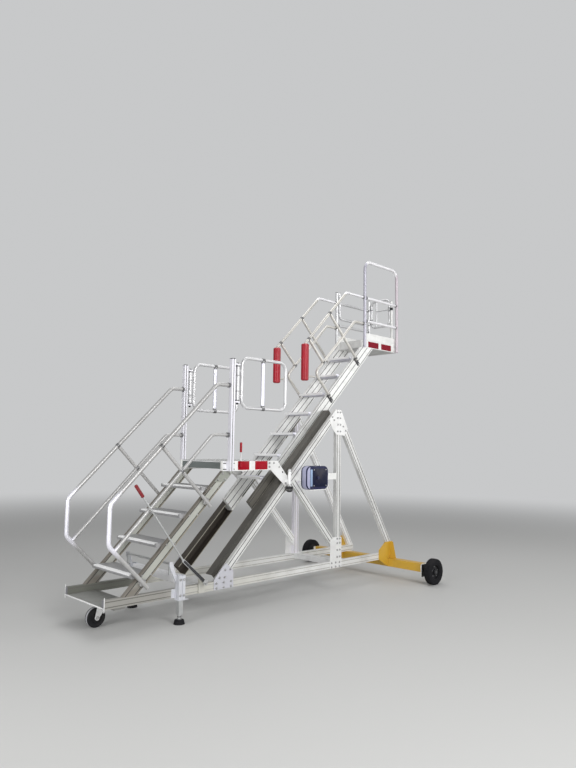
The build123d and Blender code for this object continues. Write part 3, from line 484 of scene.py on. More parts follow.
# painted highlight: a pale band round the middle of the caster's tread
GREY_RUBBER = Finish(
    "grey_rubber", (0.014, 0.014, 0.016), 0.0, 0.65, specular=0.2, grain_scale=130.0, soil=(0.2, 0.18, 0.16),
    soil_amount=0.2, zones=(Zone("Y", 0.0125, 0.012, (0.42, 0.42, 0.44), mirrored=True),),
)
RIM = Finish(
    "rim_paint", (0.012, 0.012, 0.014), 0.1, 0.5, specular=0.25, grain_scale=60.0, soil=(0.14, 0.13, 0.12),
    soil_amount=0.25,
)
YELLOW = Finish(
    "yellow_paint", (0.62, 0.37, 0.035), 0.0, 0.4, coat=0.2, grain_scale=8.0, chip=(0.22, 0.19, 0.16),
    zones=(
        Zone("Y", 0.8944, 0.8945, (0.88, 0.87, 0.82), mirrored=True),
        Zone("Y", 0.9064, 0.9065, (0.03, 0.03, 0.032), mirrored=True),
    ),
)
RED = Finish(
    "red_paint", (0.40, 0.004, 0.018), 0.0, 0.36, coat=0.3, specular=0.25, grain_scale=20.0, chip=(0.25, 0.2, 0.19)
)
RED_BOARD = Finish(
    "red_board", (0.36, 0.001, 0.012), 0.0, 0.5, specular=0.15, grain_scale=40.0, soil_amount=0.2,
    zones=(Zone("Z", 2.0, 2.1, (0.24, 0.003, 0.016)),),
)
RELEASE = Finish(
    "release_rod", DEEP_RED, 0.0, 0.4, specular=0.25, grain_scale=20.0,
    zones=(Zone("Z", 1.5840, 1.5835, (0.80, 0.79, 0.78)), Zone("Z", 1.4942, 1.4938, DEEP_RED)),
)
GRIP = Finish("grip_rubber", (0.22, 0.012, 0.018), 0.0, 0.5, grain_scale=60.0, soil_amount=0.3)
BLUE = Finish(
    "blue_paint", (0.009, 0.013, 0.062), 0.0, 0.34, coat=0.2, specular=0.35, grain_scale=30.0, chip=(0.2, 0.2, 0.22)
)
NAVY = Finish("navy_panel", (0.003, 0.006, 0.028), 0.0, 0.4, coat=0.1, specular=0.2, grain_scale=30.0)
# painted highlight: the pale band on the winch housing's face
PALE_BLUE = Finish("pale_blue_highlight", (0.30, 0.42, 0.62), 0.1, 0.4, grain_scale=60.0)
# painted reflection: the lavender patch over the winch housing's front part
LAVENDER = Finish("lavender_reflection", (0.42, 0.43, 0.60), 0.1, 0.35, coat=0.3, grain_scale=60.0)

SLOT_FINISHES = {
    "aluminium": PLATE, "zinc_tube": TUBE, "zinc_steel": ZINC, "dark_steel": DARK, "checker_plate": CHECKER,
    "tread_plate": TREAD, "yellow_paint": YELLOW, "red_paint": RED, "blue_paint": BLUE, "black_rubber": RUBBER,
    "grey_rubber": GREY_RUBBER, "rim_steel": RIM,
}
NODE_FINISHES = {
    "base_rail_near": RAIL_BAR, "base_rail_far": FAR_RAIL_BAR, "base_cross_members": CROSS_BAR,
    "front_step": CHECKER, "lower_stringer_near": STRINGER_BAR, "lower_stringer_far": STRINGER_BAR,
    "lower_handrail_near": STAIR_TUBE, "lower_handrail_far": STAIR_TUBE, "mid_platform": PLATFORM_BAR,
    "mid_posts": POST_BAR, "release_handle": RELEASE, "inclined_members": RISING_BAR, "uprights": UPRIGHT_PAIR,
    "rear_braces": BRACE_BAR, "diagonals": BRACE_BAR, "gussets": JOINT_PLATE, "tracks": TRACK_BAR,
    "guide_bars": GUIDE_BAR, "track_lock": BRIGHT_BEAM, "winch_bar": WHITE, "slide_shoes": WHITE,
    "upper_stringer_near": STAIR_BAR, "upper_stringer_far": RISING_BAR, "upper_treads": UPPER_TREAD,
    "upper_handrail_near": UPPER_TUBE, "upper_handrail_far": UPPER_TUBE, "handrail_sleeves": RED,
    "top_deck": LEVEL_BAR, "top_hoop_near": HOOP_TUBE, "jack_sleeves": SLEEVE_BAR, "lever_bracket": RAIL_BAR,
    "lever_grip": GRIP, "caster_fork": BRIGHT_BEAM,
}


class Shape:
    """Closed shapes gathered in one mesh, which becomes a piece of the stand."""

    def __init__(self) -> None:
        """Starts empty."""
        self.mesh = bmesh.new()

    def _round(self, faces: Iterable[bmesh.types.BMFace], width: float) -> None:
        """Rounds the sharp edges of new faces.

        Args:
            faces: the faces of one closed shape.
            width: how much of each face the rounding takes.
        """
        if width <= 0:
            return
        edges = {edge for face in faces for edge in face.edges if edge.calc_face_angle(0.0) > math.radians(EASED_DEG)}
        bmesh.ops.bevel(self.mesh, geom=list(edges), offset=width, segments=2, profile=0.6, affect="EDGES")

    def prism(self, outline: Sequence[Vector], depth: Vector, bevel: float = 0.001) -> None:
        """Adds a flat outline carried along a depth.

        Args:
            outline: the corners in order.
            depth: how far and which way the outline is carried.
            bevel: the width of the rounded edges.
        """
        low = [self.mesh.verts.new(point) for point in outline]
        high = [self.mesh.verts.new(point + depth) for point in outline]
        faces = [self.mesh.faces.new(low), self.mesh.faces.new(high[::-1])]
        for here in range(len(low)):
            there = (here + 1) % len(low)
            faces.append(self.mesh.faces.new((low[there], low[here], high[here], high[there])))
        bmesh.ops.recalc_face_normals(self.mesh, faces=faces)
        self._round(faces, bevel)

    def box(self, low: Vector, high: Vector, bevel: float = 0.001) -> None:
        """Adds a block with rounded edges between two corners."""
        corners = ((low.x, low.y), (high.x, low.y), (high.x, high.y), (low.x, high.y))
        self.prism([Vector((x, y, low.z)) for x, y in corners], UP * (high.z - low.z), bevel)

    def plate(self, outline: Sequence[Run], y_range: Run, bevel: float = 0.001) -> None:
        """Adds a plate with an outline along the stand, between two distances from the middle."""
        corners = [at(x, y_range[0], z) for x, z in outline]
        self.prism(corners, ACROSS * (y_range[1] - y_range[0]), bevel)

    def lathe(
        self, profile: Sequence[Run], centre: Vector, axis: Vector, sides: int = 24, ring: bool = False
    ) -> None:
        """Adds a turned shape.

        Args:
            profile: radius and distance along the axis of each point.
            centre: where the distance along the axis is 0.
            axis: the direction of the axis.
            sides: how many faces go round.
            ring: whether the profile closes on itself, as in a collar.
        """
        along = axis.normalized()
        across = along.orthogonal().normalized()
        other = along.cross(across)
        turns = [2 * math.pi * step / sides for step in range(sides)]
        spokes = [across * math.cos(turn) + other * math.sin(turn) for turn in turns]
        rings = []
        for radius, reach in profile:
            rings.append([self.mesh.verts.new(centre + along * reach + radius * spoke) for spoke in spokes])
        pairs = list(zip(rings, rings[1:])) + ([(rings[-1], rings[0])] if ring else [])
        faces = []
        for first, second in pairs:
            for step in range(sides):
                after = (step + 1) % sides
                faces.append(self.mesh.faces.new((first[step], first[after], second[after], second[step])))
        if not ring:
            faces.append(self.mesh.faces.new(rings[0][::-1]))
            faces.append(self.mesh.faces.new(rings[-1]))
        bmesh.ops.recalc_face_normals(self.mesh, faces=faces)

    def collar(self, centre: Vector, axis: Vector, inner: float, outer: float, width: float) -> None:
        """Adds a ring with eased edges round a tube.

        Args:
            centre: the ring's middle.
            axis: the direction of the tube.
            inner: the ring's inner radius.
            outer: its outer radius.
            width: its length along the axis.
        """
        half, ease = width / 2, min(width, outer - inner) * 0.3
        profile = [(inner, -half), (outer - ease, -half), (outer, ease - half)]
        profile += [(outer, half - ease), (outer - ease, half), (inner, half)]
        self.lathe(profile, centre, axis, ring=True)

    def knob(self, base: Vector, axis: Vector, radius: float, height: float) -> None:
        """Adds a domed round knob.

        Args:
            base: the middle of the face that it stands on.
            axis: the direction that it rises in.
            radius: its widest radius.
            height: how far it rises.
        """
        profile = [(radius * 0.7, 0.0), (radius, height * 0.25), (radius, height * 0.7)]
        profile += [(radius * 0.8, height * 0.93), (radius * 0.35, height)]
        self.lathe(profile, base, axis)

    def piece(self, name: str, finish: Finish, body: Body, slot: str = "aluminium") -> bpy.types.Object:
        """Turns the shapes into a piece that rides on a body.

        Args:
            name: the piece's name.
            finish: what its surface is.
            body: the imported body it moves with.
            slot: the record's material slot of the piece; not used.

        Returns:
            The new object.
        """
        mesh = bpy.data.meshes.new(name)
        self.mesh.to_mesh(mesh)
        self.mesh.free()
        mesh.materials.append(finish.material())
        return finish_piece(name, mesh, body)


def finish_piece(name: str, mesh: bpy.types.Mesh, body: Body) -> bpy.types.Object:
    """Puts a finished mesh in the scene as one piece.

    Args:
        name: the piece's name.
        mesh: its mesh, in place.
        body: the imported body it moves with.

    Returns:
        The new object.
    """
    mesh.name = name
    mesh.shade_smooth()
    mesh.set_sharp_from_angle(angle=math.radians(PIECE_SHARP_DEG))
    made = bpy.data.objects.new(name, mesh)
    bpy.context.scene.collection.objects.link(made)
    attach(made, body.value)
    log.info("%s on %s: %d faces", name, body.value, len(mesh.polygons))
    return made


class Pattern:
    """A Geometry Nodes tree that repeats a small shape over the points that it is given."""

    def __init__(self, name: str, sizes: dict[str, float | Colour]) -> None:
        """Makes the tree's sockets.

        Args:
            name: the tree's name.
            sizes: the named sizes and their values, numbers or vectors.
        """
        self.tree = bpy.data.node_groups.new(name, "GeometryNodeTree")
        face = self.tree.interface
        face.new_socket("Points", in_out="INPUT", socket_type="NodeSocketGeometry")
        for title, value in sizes.items():
            kind = "NodeSocketVector" if isinstance(value, tuple) else "NodeSocketFloat"
            face.new_socket(title, in_out="INPUT", socket_type=kind)
        face.new_socket("Finish", in_out="INPUT", socket_type="NodeSocketMaterial")
        face.new_socket("Pieces", in_out="OUTPUT", socket_type="NodeSocketGeometry")
        self.sizes = sizes
        self.graph = Graph(self.tree)
        self.given = self.graph.add("NodeGroupInput").outputs

    def times(self, title: str, factor: float) -> Socket:
        """A named size times a factor."""
        return self.graph.add("ShaderNodeMath", {0: self.given[title], 1: factor}, operation="MULTIPLY").outputs[0]

    def raised(self, solid: Node, height: object) -> Node:
        """A solid moved up by a height."""
        offset = self.graph.add("ShaderNodeCombineXYZ", {"Z": height}).outputs[0]
        return self.graph.add("GeometryNodeTransform", {"Geometry": solid.outputs[0], "Translation": offset})

    def joined(self, *solids: Node) -> Socket:
        """Several solids as one.

        Args:
            *solids: the nodes that make them.

        Returns:
            The joined geometry's socket.
        """
        whole = self.graph.add("GeometryNodeJoinGeometry")
        for solid in solids:
            self.tree.links.new(solid.outputs[0], whole.inputs[0])
        return whole.outputs[0]

    def close(self, shape: Socket) -> None:
        """Puts the shape on every point, turned to the directions that the point carries, and ends the tree.

        Args:
            shape: the small shape's geometry socket, standing on its origin along Z.
        """
        up = self.graph.add("GeometryNodeInputNamedAttribute", {"Name": "facing"}, data_type="FLOAT_VECTOR")
        run = self.graph.add("GeometryNodeInputNamedAttribute", {"Name": "run"}, data_type="FLOAT_VECTOR")
        stand = self.graph.add("FunctionNodeAlignRotationToVector", {"Vector": up.outputs[0]}, axis="Z")
        turn = {"Rotation": stand.outputs[0], "Vector": run.outputs[0]}
        lie = self.graph.add("FunctionNodeAlignRotationToVector", turn, axis="X", pivot_axis="Z")
        onto = {"Points": self.given["Points"], "Instance": shape, "Rotation": lie.outputs[0]}
        spread = self.graph.add("GeometryNodeInstanceOnPoints", onto)
        solid = self.graph.add("GeometryNodeRealizeInstances", {0: spread.outputs[0]})
        coat = {"Geometry": solid.outputs[0], "Material": self.given["Finish"]}
        self.graph.add("NodeGroupOutput", {0: self.graph.add("GeometryNodeSetMaterial", coat).outputs[0]})

    def piece(
        self, name: str, spots: Sequence[Spot], finish: Finish, body: Body, slot: str = "dark_steel"
    ) -> bpy.types.Object:
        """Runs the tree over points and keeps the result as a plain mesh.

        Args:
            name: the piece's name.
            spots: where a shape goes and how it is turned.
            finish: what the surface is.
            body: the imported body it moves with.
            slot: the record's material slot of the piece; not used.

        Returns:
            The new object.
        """
        points = bpy.data.meshes.new(name + "_points")
        points.from_pydata([spot[0] for spot in spots], [], [])
        for number, title in ((1, "facing"), (2, "run")):
            carried = points.attributes.new(title, "FLOAT_VECTOR", "POINT")
            carried.data.foreach_set("vector", [value for spot in spots for value in spot[number]])
        carrier = bpy.data.objects.new(name + "_points", points)
        bpy.context.scene.collection.objects.link(carrier)
        modifier = carrier.modifiers.new("pattern", "NODES")
        values = dict(self.sizes, Finish=finish.material())
        modifier.node_group = self.tree
        for item in self.tree.interface.items_tree:
            if item.name in values:
                modifier[item.identifier] = values[item.name]
        evaluated = carrier.evaluated_get(bpy.context.evaluated_depsgraph_get())
        mesh = bpy.data.meshes.new_from_object(evaluated)
        carrier.modifiers.remove(modifier)
        bpy.data.objects.remove(carrier)
        return finish_piece(name, mesh, body)


def bolt_pattern(head: float, height: float) -> Pattern:
    """Hexagon bolts on washers.

    Args:
        head: the width of a bolt's head.
        height: how far the head stands up.

    Returns:
        The pattern, whose points carry their facing.
    """
    pattern = Pattern(f"bolts_{round(head * 1000)}", {"Head": head, "Height": height, "Washer": height * 0.3})
    graph, given = pattern.graph, pattern.given
    washer = graph.add(
        "GeometryNodeMeshCylinder", {"Vertices": 16, "Radius": pattern.times("Head", 0.72), "Depth": given["Washer"]}
    )
    hexagon = graph.add(
        "GeometryNodeMeshCylinder", {"Vertices": 6, "Radius": pattern.times("Head", 0.5), "Depth": given["Height"]}
    )
    crown = graph.add(
        "GeometryNodeMeshCone",
        {
            "Vertices": 12,
            "Radius Top": pattern.times("Head", 0.36),
            "Radius Bottom": pattern.times("Head", 0.43),
            "Depth": given["Washer"],
        },
    )
    pattern.close(pattern.joined(
        pattern.raised(washer, pattern.times("Washer", 0.5)),
        pattern.raised(hexagon, pattern.times("Height", 0.5)),
        pattern.raised(crown, given["Height"]),
    ))
    return pattern


def lug_pattern(length: float, width: float, height: float) -> Pattern:
    """Raised lens shaped lugs of a checker plate.

    Args:
        length: a lug's length.
        width: a lug's width.
        height: how far a lug stands up.

    Returns:
        The pattern, whose points carry each lug's run.
    """
    pattern = Pattern("checker_lugs", {"Size": (length / 2, width / 2, height)})
    ball = pattern.graph.add("GeometryNodeMeshUVSphere", {"Segments": 8, "Rings": 4, "Radius": 1.0})
    lens = pattern.graph.add("GeometryNodeTransform", {"Geometry": ball.outputs[0], "Scale": pattern.given["Size"]})
    pattern.close(lens.outputs[0])
    return pattern


def rib_pattern(name: str, length: float, width: float, height: float) -> Pattern:
    """Low ribs with a narrower crest, as on a tread.

    Args:
        name: the tree's name.
        length: a rib's length.
        width: a rib's width at its foot.
        height: how far a rib stands up.

    Returns:
        The pattern, whose points carry each rib's run.
    """
    pattern = Pattern(name, {"Foot": (length, width, height / 2), "Crest": (length, width * 0.55, height / 2)})
    foot = pattern.graph.add("GeometryNodeMeshCube", {"Size": pattern.given["Foot"]})
    crest = pattern.graph.add("GeometryNodeMeshCube", {"Size": pattern.given["Crest"]})
    pattern.close(pattern.joined(foot, pattern.raised(crest, height / 2)))
    return pattern


def bolt_spots(side: Side, y: float, places: Iterable[Run]) -> list[Spot]:
    """Bolts on a face beside the stand.

    Args:
        side: which side the face is on.
        y: the face's distance from the middle.
        places: x and z of each bolt.

    Returns:
        A spot for each bolt.
    """
    return [(at(x, side.value * y, z), outward(side), BACK) for x, z in places]


def smooth_rounds() -> bpy.types.NodeTree:
    """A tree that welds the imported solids' triangles and shades their round faces smooth.

    Returns:
        The tree, with the angle above which an edge stays sharp.
    """
    tree = bpy.data.node_groups.new("smooth_rounds", "GeometryNodeTree")
    tree.interface.new_socket("Solid", in_out="INPUT", socket_type="NodeSocketGeometry")
    sharp = tree.interface.new_socket("Sharp Angle", in_out="INPUT", socket_type="NodeSocketFloat")
    sharp.default_value = math.radians(SOLID_SHARP_DEG)
    tree.interface.new_socket("Solid", in_out="OUTPUT", socket_type="NodeSocketGeometry")
    graph = Graph(tree)
    given = graph.add("NodeGroupInput").outputs
    solid = graph.add("GeometryNodeMergeByDistance", {"Geometry": given[0], "Distance": WELD}).outputs[0]
    angle = graph.add("GeometryNodeInputMeshEdgeAngle").outputs["Unsigned Angle"]
    low = graph.add("FunctionNodeCompare", {0: angle, 1: given["Sharp Angle"]}, operation="LESS_THAN").outputs[0]
    for domain, smooth in (("FACE", True), ("EDGE", low)):
        inputs = {"Geometry": solid, "Shade Smooth": smooth}
        solid = graph.add("GeometryNodeSetShadeSmooth", inputs, domain=domain).outputs[0]
    graph.add("NodeGroupOutput", {0: solid})
    return tree


@dataclass
class EndCaps:
    """Pressed caps on the open ends of the box sections and on the middle posts, and the front step's lip."""

    thickness: float = 0.004
    radius: float = 0.005
    inset: float = 0.009
    rail_y: Run = (0.3275, 0.3725)
    rail_z: Run = (0.234, 0.314)
    rail_back: float = 4.137
    platform_front: float = 1.254
    platform_y: Run = (0.3325, 0.3725)
    platform_z: Run = (1.394, 1.494)
    deck_front: float = 3.662
    deck_y: Run = (0.185, 0.225)
    deck_z: Run = (2.962, 3.062)
    plate_z: Run = (0.212, 0.336)
    plate_edge: float = 0.010
    lip_x: Run = (-0.0076, -0.0062)
    lip_z: Run = (0.239, 0.249)
    fold: float = 0.022
    sheet: float = 0.002
    seam: float = 0.0005
    post_x: float = 1.315
    post_y: float = 0.415
    post_top: float = 2.537
    post_half: float = 0.0235
    post_inset: float = 0.006

    def build(self) -> None:
        """Makes all of them."""
        for side in Side:
            rails = Shape()
            self.end(rails, side, 1, self.rail_back, self.rail_y, self.rail_z)
            self.end(rails, side, -1, self.platform_front, self.platform_y, self.platform_z)
            rails.piece(f"end_caps_{side.word}", WHITE, Body.FRAME)
            deck = Shape()
            self.end(deck, side, -1, self.deck_front, self.deck_y, self.deck_z)
            deck.piece(f"deck_caps_{side.word}", WHITE, Body.STAIR)
        plugs = Shape()
        for side in Side:
            self.end(plugs, side, -1, 0.0, (self.rail_y[0], self.rail_y[1] - self.plate_edge), self.rail_z)
        plugs.piece("rail_end_plugs", GREY_CAP, Body.FRAME)
        self.step_lip()
        self.post_caps()

    def step_lip(self) -> None:
        """Makes the front step's bright lip with its upright edges."""
        inner, outer = self.rail_y
        reach = outer - self.plate_edge
        low, high = self.lip_z
        lip = Shape()
        for side in Side:
            edge = sorted((side.value * (reach + self.seam), side.value * outer))
            lip.box(at(-self.thickness, edge[0], self.plate_z[0]), at(0.0, edge[1], self.plate_z[1]))
        lip.box(at(self.lip_x[0], -reach, low), at(self.lip_x[1], reach, high))
        lip.box(at(-self.thickness, -inner, low), at(0.0, inner, high))
        lip.box(at(0.0, self.sheet - inner, high - self.sheet), at(self.fold, inner - self.sheet, high), self.seam)
        lip.piece("front_step_lip", NOSING, Body.FRAME, "tread_plate")

    def post_caps(self) -> None:
        """Makes the stepped caps of the two middle posts."""
        posts = Shape()
        for side in Side:
            y = side.value * self.post_y
            for shrink, rise in ((0.0, 0.0), (self.post_inset, self.thickness)):
                half = self.post_half - shrink
                outline = rounded((self.post_x - half, y - half), (self.post_x + half, y + half), self.radius)
                posts.prism([at(x, across, self.post_top + rise) for x, across in outline], UP * self.thickness)
        posts.piece("post_caps", BLACK, Body.FRAME)

    def end(self, shape: Shape, side: Side, way: int, x: float, y_range: Run, z_range: Run) -> None:
        """Adds a cap with a raised middle on one end of a section.

        Args:
            shape: where it goes.
            side: which side the section is on.
            way: -1 on a front end, 1 on a rear end.
            x: where the section ends.
            y_range: the section's distances from the middle.
            z_range: its lowest and highest level.
        """
        for shrink, start, depth in ((0.0, 0.0, self.thickness), (self.inset, self.thickness, self.thickness / 2)):
            low = (y_range[0] + shrink, z_range[0] + shrink)
            high = (y_range[1] - shrink, z_range[1] - shrink)
            outline = rounded(low, high, self.radius)
            shape.prism([at(x + way * start, side.value * y, z) for y, z in outline], BACK * (way * depth))


@dataclass
class Fasteners:
    """Bolts on the gusset plates, the stringers and the treads."""

    large: Run = (0.017, 0.010)
    small: Run = (0.012, 0.007)
    plate_y: float = 0.3785
    stringer_y: float = 0.3725
    upper_y: float = 0.225
    grooves: Run = (0.251, 0.297)
    lower_lines: Run = (-0.1217, -0.0283)
    upper_lines: Run = (0.701, 0.7935)
    upright_lines: Run = (2.997, 3.043)
    foot_x: tuple[float, ...] = (1.20, 1.29, 1.385)
    foot: tuple[Run, ...] = ((1.2375, 0.345), (1.3075, 0.415), (1.3025, 0.345), (1.3725, 0.415))
    rear_x: tuple[float, ...] = (2.90, 2.97, 3.04)
    rear_z: tuple[float, ...] = (0.36, 0.44, 0.52, 0.57)
    apex_z: tuple[float, ...] = (1.84, 1.92, 2.0, 2.07)
    apex: tuple[Run, ...] = ((2.90, 2.0075), (2.93, 1.9725), (3.10, 1.90), (3.14, 1.85))
    middle: tuple[Run, ...] = ((1.885, 1.47), (1.885, 1.43), (1.95, 1.47), (2.13, 1.25))
    head_z: Run = (1.31, 1.37)
    lower_treads: tuple[float, ...] = tuple(0.494 + 0.25 * step for step in range(4))
    upper_treads: tuple[float, ...] = tuple(1.562 + 0.25 * step for step in range(6))
    below: float = 0.015

    def build(self) -> None:
        """Makes them in sets by size."""
        large, small = bolt_pattern(*self.large), bolt_pattern(*self.small)
        sets = {
            "foot": [*product(self.foot_x, self.grooves), *self.foot],
            "rear": [*product(self.rear_x, self.grooves), *product(self.upright_lines, self.rear_z)],
            "apex": [*product(self.upright_lines, self.apex_z), *self.apex],
            "middle": self.middle,
            "head": [on_slope(line, z) for line in self.lower_lines for z in self.head_z],
        }
        lower = [on_slope(line, z - self.below) for z in self.lower_treads for line in self.lower_lines]
        upper = [on_slope(line, z - self.below) for z in self.upper_treads for line in self.upper_lines]
        for side in Side:
            for name, places in sets.items():
                spots = bolt_spots(side, self.plate_y, places)
                large.piece(f"{name}_bolts_{side.word}", spots, BOLT, Body.FRAME)
            spots = bolt_spots(side, self.stringer_y, lower)
            small.piece(f"lower_tread_bolts_{side.word}", spots, BOLT, Body.FRAME)
            spots = bolt_spots(side, self.upper_y, upper)
            small.piece(f"upper_tread_bolts_{side.word}", spots, BOLT, Body.STAIR)


@dataclass
class GrooveShade:
    """Painted shade: dark strips down in the grooves of the extrusions, standing for the grooves' shadow, which show
    as fine lines along them.
    """

    half: float = 0.0043
    depth: Run = (-0.0025, -0.0012)
    rail_faces: Run = (0.3725, 0.3275)
    stringer_faces: Run = (0.3725, 0.3325)
    post_faces: Run = (0.4375, 0.3925)
    upper_faces: Run = (0.225, 0.185)
    rail_x: Run = (0.003, 4.134)
    rail_z: Run = (0.251, 0.297)
    rail_top: float = 0.314
    stringer_lines: Run = (-0.1217, -0.0283)
    member_lines: Run = (0.8925, 0.9575)
    upright_front: float = 2.980
    upright_x: Run = (2.997, 3.043)
    upright_top: float = 2.098
    brace: tuple[Run, Run] = ((3.060, 1.985), (4.085, 0.314))
    diagonal: tuple[Run, Run] = ((2.253, 1.271), (2.980, 0.470))
    off_middle: float = 0.023
    short: float = 0.02
    platform_low: float = 1.394
    platform_x: Run = (1.256, 1.898)
    platform_z: Run = (1.411, 1.471)
    post_x: float = 1.315
    post_z: Run = (1.396, 2.535)
    upper_lines: tuple[float, ...] = (0.701, 0.7935, 0.886)
    upper_foot_sum: float = 2.780
    upper_top: float = 2.962

    def build(self) -> None:
        """Makes those of every kind of bar on both sides."""
        top = self.rail_top
        rails = [tuple((x, z) for x in self.rail_x) for z in self.rail_z]
        stringers = [(on_slope(line, top), on_slope(line, self.platform_low)) for line in self.stringer_lines]
        truss = [
            (on_slope(line, top), (self.upright_front, self.upright_front - line)) for line in self.member_lines
        ]
        truss += [((x, top), (x, self.upright_top)) for x in self.upright_x]
        truss += self.beside(*self.brace) + self.beside(*self.diagonal)
        platform = [tuple((x, z) for x in self.platform_x) for z in self.platform_z]
        posts = [tuple((self.post_x, z) for z in self.post_z)]
        upper = [(crossing(line, self.upper_foot_sum), on_slope(line, self.upper_top)) for line in self.upper_lines]
        rows = (
            ("rail", rails, self.rail_faces, Body.FRAME),
            ("stringer", stringers + platform, self.stringer_faces, Body.FRAME),
            ("truss", truss, self.rail_faces, Body.FRAME),
            ("post", posts, self.post_faces, Body.FRAME),
            ("upper", upper, self.upper_faces, Body.STAIR),
        )
        for name, runs, (outer, inner), body in rows:
            for side in Side:
                covers = Shape()
                for start, end in runs:
                    outline = self.strip(start, end)
                    covers.plate(outline, flat(*self.depth, outer, side), 0.0)
                    covers.plate(outline, flat(-self.depth[1], -self.depth[0], inner, side), 0.0)
                # painted shade in the grooves, paler on the rails and on the far truss
                pale = name == "rail" or (name == "truss" and side is Side.FAR)
                covers.piece(f"{name}_slots_{side.word}", PALE_GROOVE_SHADE if pale else GROOVE_SHADE, body)

    def strip(self, start: Run, end: Run) -> list[Run]:
        """The outline of a narrow strip.

        Args:
            start: x and z of one end's middle.
            end: x and z of the other end's middle.

        Returns:
            The corners in order.
        """
        across = (Vector(end) - Vector(start)).normalized().orthogonal() * self.half
        corners = (Vector(start) + across, Vector(end) + across, Vector(end) - across, Vector(start) - across)
        return [(corner.x, corner.y) for corner in corners]

    def beside(self, start: Run, end: Run) -> list[tuple[Run, Run]]:
        """The two groove lines beside a bar's middle line, a little short of its ends.

        Args:
            start: where the middle line starts.
            end: where it ends.

        Returns:
            Both ends of each line.
        """
        along = (Vector(end) - Vector(start)).normalized()
        across = along.orthogonal() * self.off_middle
        first, last = Vector(start) + along * self.short, Vector(end) - along * self.short
        return [(tuple(first + across * way), tuple(last + across * way)) for way in (1, -1)]


@dataclass
class CheckerPlates:
    """Raised lugs on the front step and the two platforms."""

    pitch: float = 0.034
    length: float = 0.026
    width: float = 0.007
    height: float = 0.0013

    def build(self) -> None:
        """Makes a set for each plate."""
        lugs = lug_pattern(self.length, self.width, self.height)
        plates = (      # front and rear edge, half width, level
            ("front_step_lugs", (0.008, 0.292), 0.316, 0.250, Body.FRAME),
            ("middle_deck_lugs", (1.262, 1.892), 0.362, 1.494, Body.FRAME),
            ("top_deck_lugs", (3.70, 4.35), 0.208, 3.062, Body.STAIR),
        )
        for name, x_range, half, z, body in plates:
            lugs.piece(name, self.spots(x_range, half, z), CHECKER, body, "checker_plate")

    def spots(self, x_range: Run, half: float, z: float) -> list[Spot]:
        """A chequered field of lugs.

        Args:
            x_range: the field's front and rear edge.
            half: the field's half width.
            z: the plate's upper face.

        Returns:
            A spot for each lug, every second one turned.
        """
        margin = self.length / 2
        along = int((x_range[1] - x_range[0] - 2 * margin) / self.pitch)
        across = int((2 * half - 2 * margin) / self.pitch)
        start_x = (x_range[0] + x_range[1] - along * self.pitch) / 2
        rows = []
        for i, j in product(range(along + 1), range(across + 1)):
            run = Vector((1.0, 1.0 if (i + j) % 2 else -1.0, 0.0)).normalized()
            rows.append((at(start_x + i * self.pitch, (j - across / 2) * self.pitch, z), UP, run))
        return rows


@dataclass
class TreadNosings:
    """Bright ribbed strips along the front of every tread and platform."""

    rib_spacing: float = 0.009
    rib_count: int = 4
    rib_width: float = 0.0035
    rib_height: float = 0.0016
    lead: float = 0.010
    going: float = 0.25
    cover: float = 0.0008
    rounding: float = 0.008
    run: float = 0.044
    platform: Run = (1.254, 1.494)

    def build(self) -> None:
        """Makes the lower and the upper set."""
        flights = (     # first nose, number of treads, half width, drop in front
            ("lower", (0.254, 0.494), 4, 0.330, 0.013, Body.FRAME),
            ("upper", (1.912, 1.312), 7, 0.198, 0.026, Body.STAIR),
        )
        for name, first, count, half, drop, body in flights:
            noses = [(first[0] + step * self.going, first[1] + step * self.going) for step in range(count)]
            ribs = rib_pattern(f"{name}_nosing_ribs", half * 2, self.rib_width, self.rib_height)
            spots = []
            for (x, z), rib in product(noses, range(self.rib_count)):
                spots.append((at(x + self.lead + rib * self.rib_spacing, 0.0, z), UP, ACROSS))
            ribs.piece(f"{name}_nosing_ribs", spots, NOSING, body, "tread_plate")
            if body is Body.FRAME:
                noses.append(self.platform)
            covers = Shape()
            for x, z in noses:
                covers.plate(self.profile(x, z, drop), (-half, half), 0.0)
            covers.piece(f"{name}_nosing_covers", NOSING, body, "tread_plate")

    def profile(self, x: float, z: float, drop: float) -> list[Run]:
        """The section of a thin cover bent over a nosing.

        Args:
            x: where the nosing starts.
            z: its upper face.
            drop: how far the cover reaches down in front.

        Returns:
            The corners in order, outer ones first.
        """
        outer, inner = [], []
        middle_x, middle_z = x + self.rounding, z - self.rounding
        for thickness, line in ((self.cover, outer), (0.0, inner)):
            line.append((x - thickness, z - drop))
            for step in range(CORNER_STEPS + 1):
                turn = math.radians(90 * step / CORNER_STEPS)
                radius = self.rounding + thickness
                line.append((middle_x - radius * math.cos(turn), middle_z + radius * math.sin(turn)))
            line.append((x + self.run, z + thickness))
        return outer + inner[::-1]


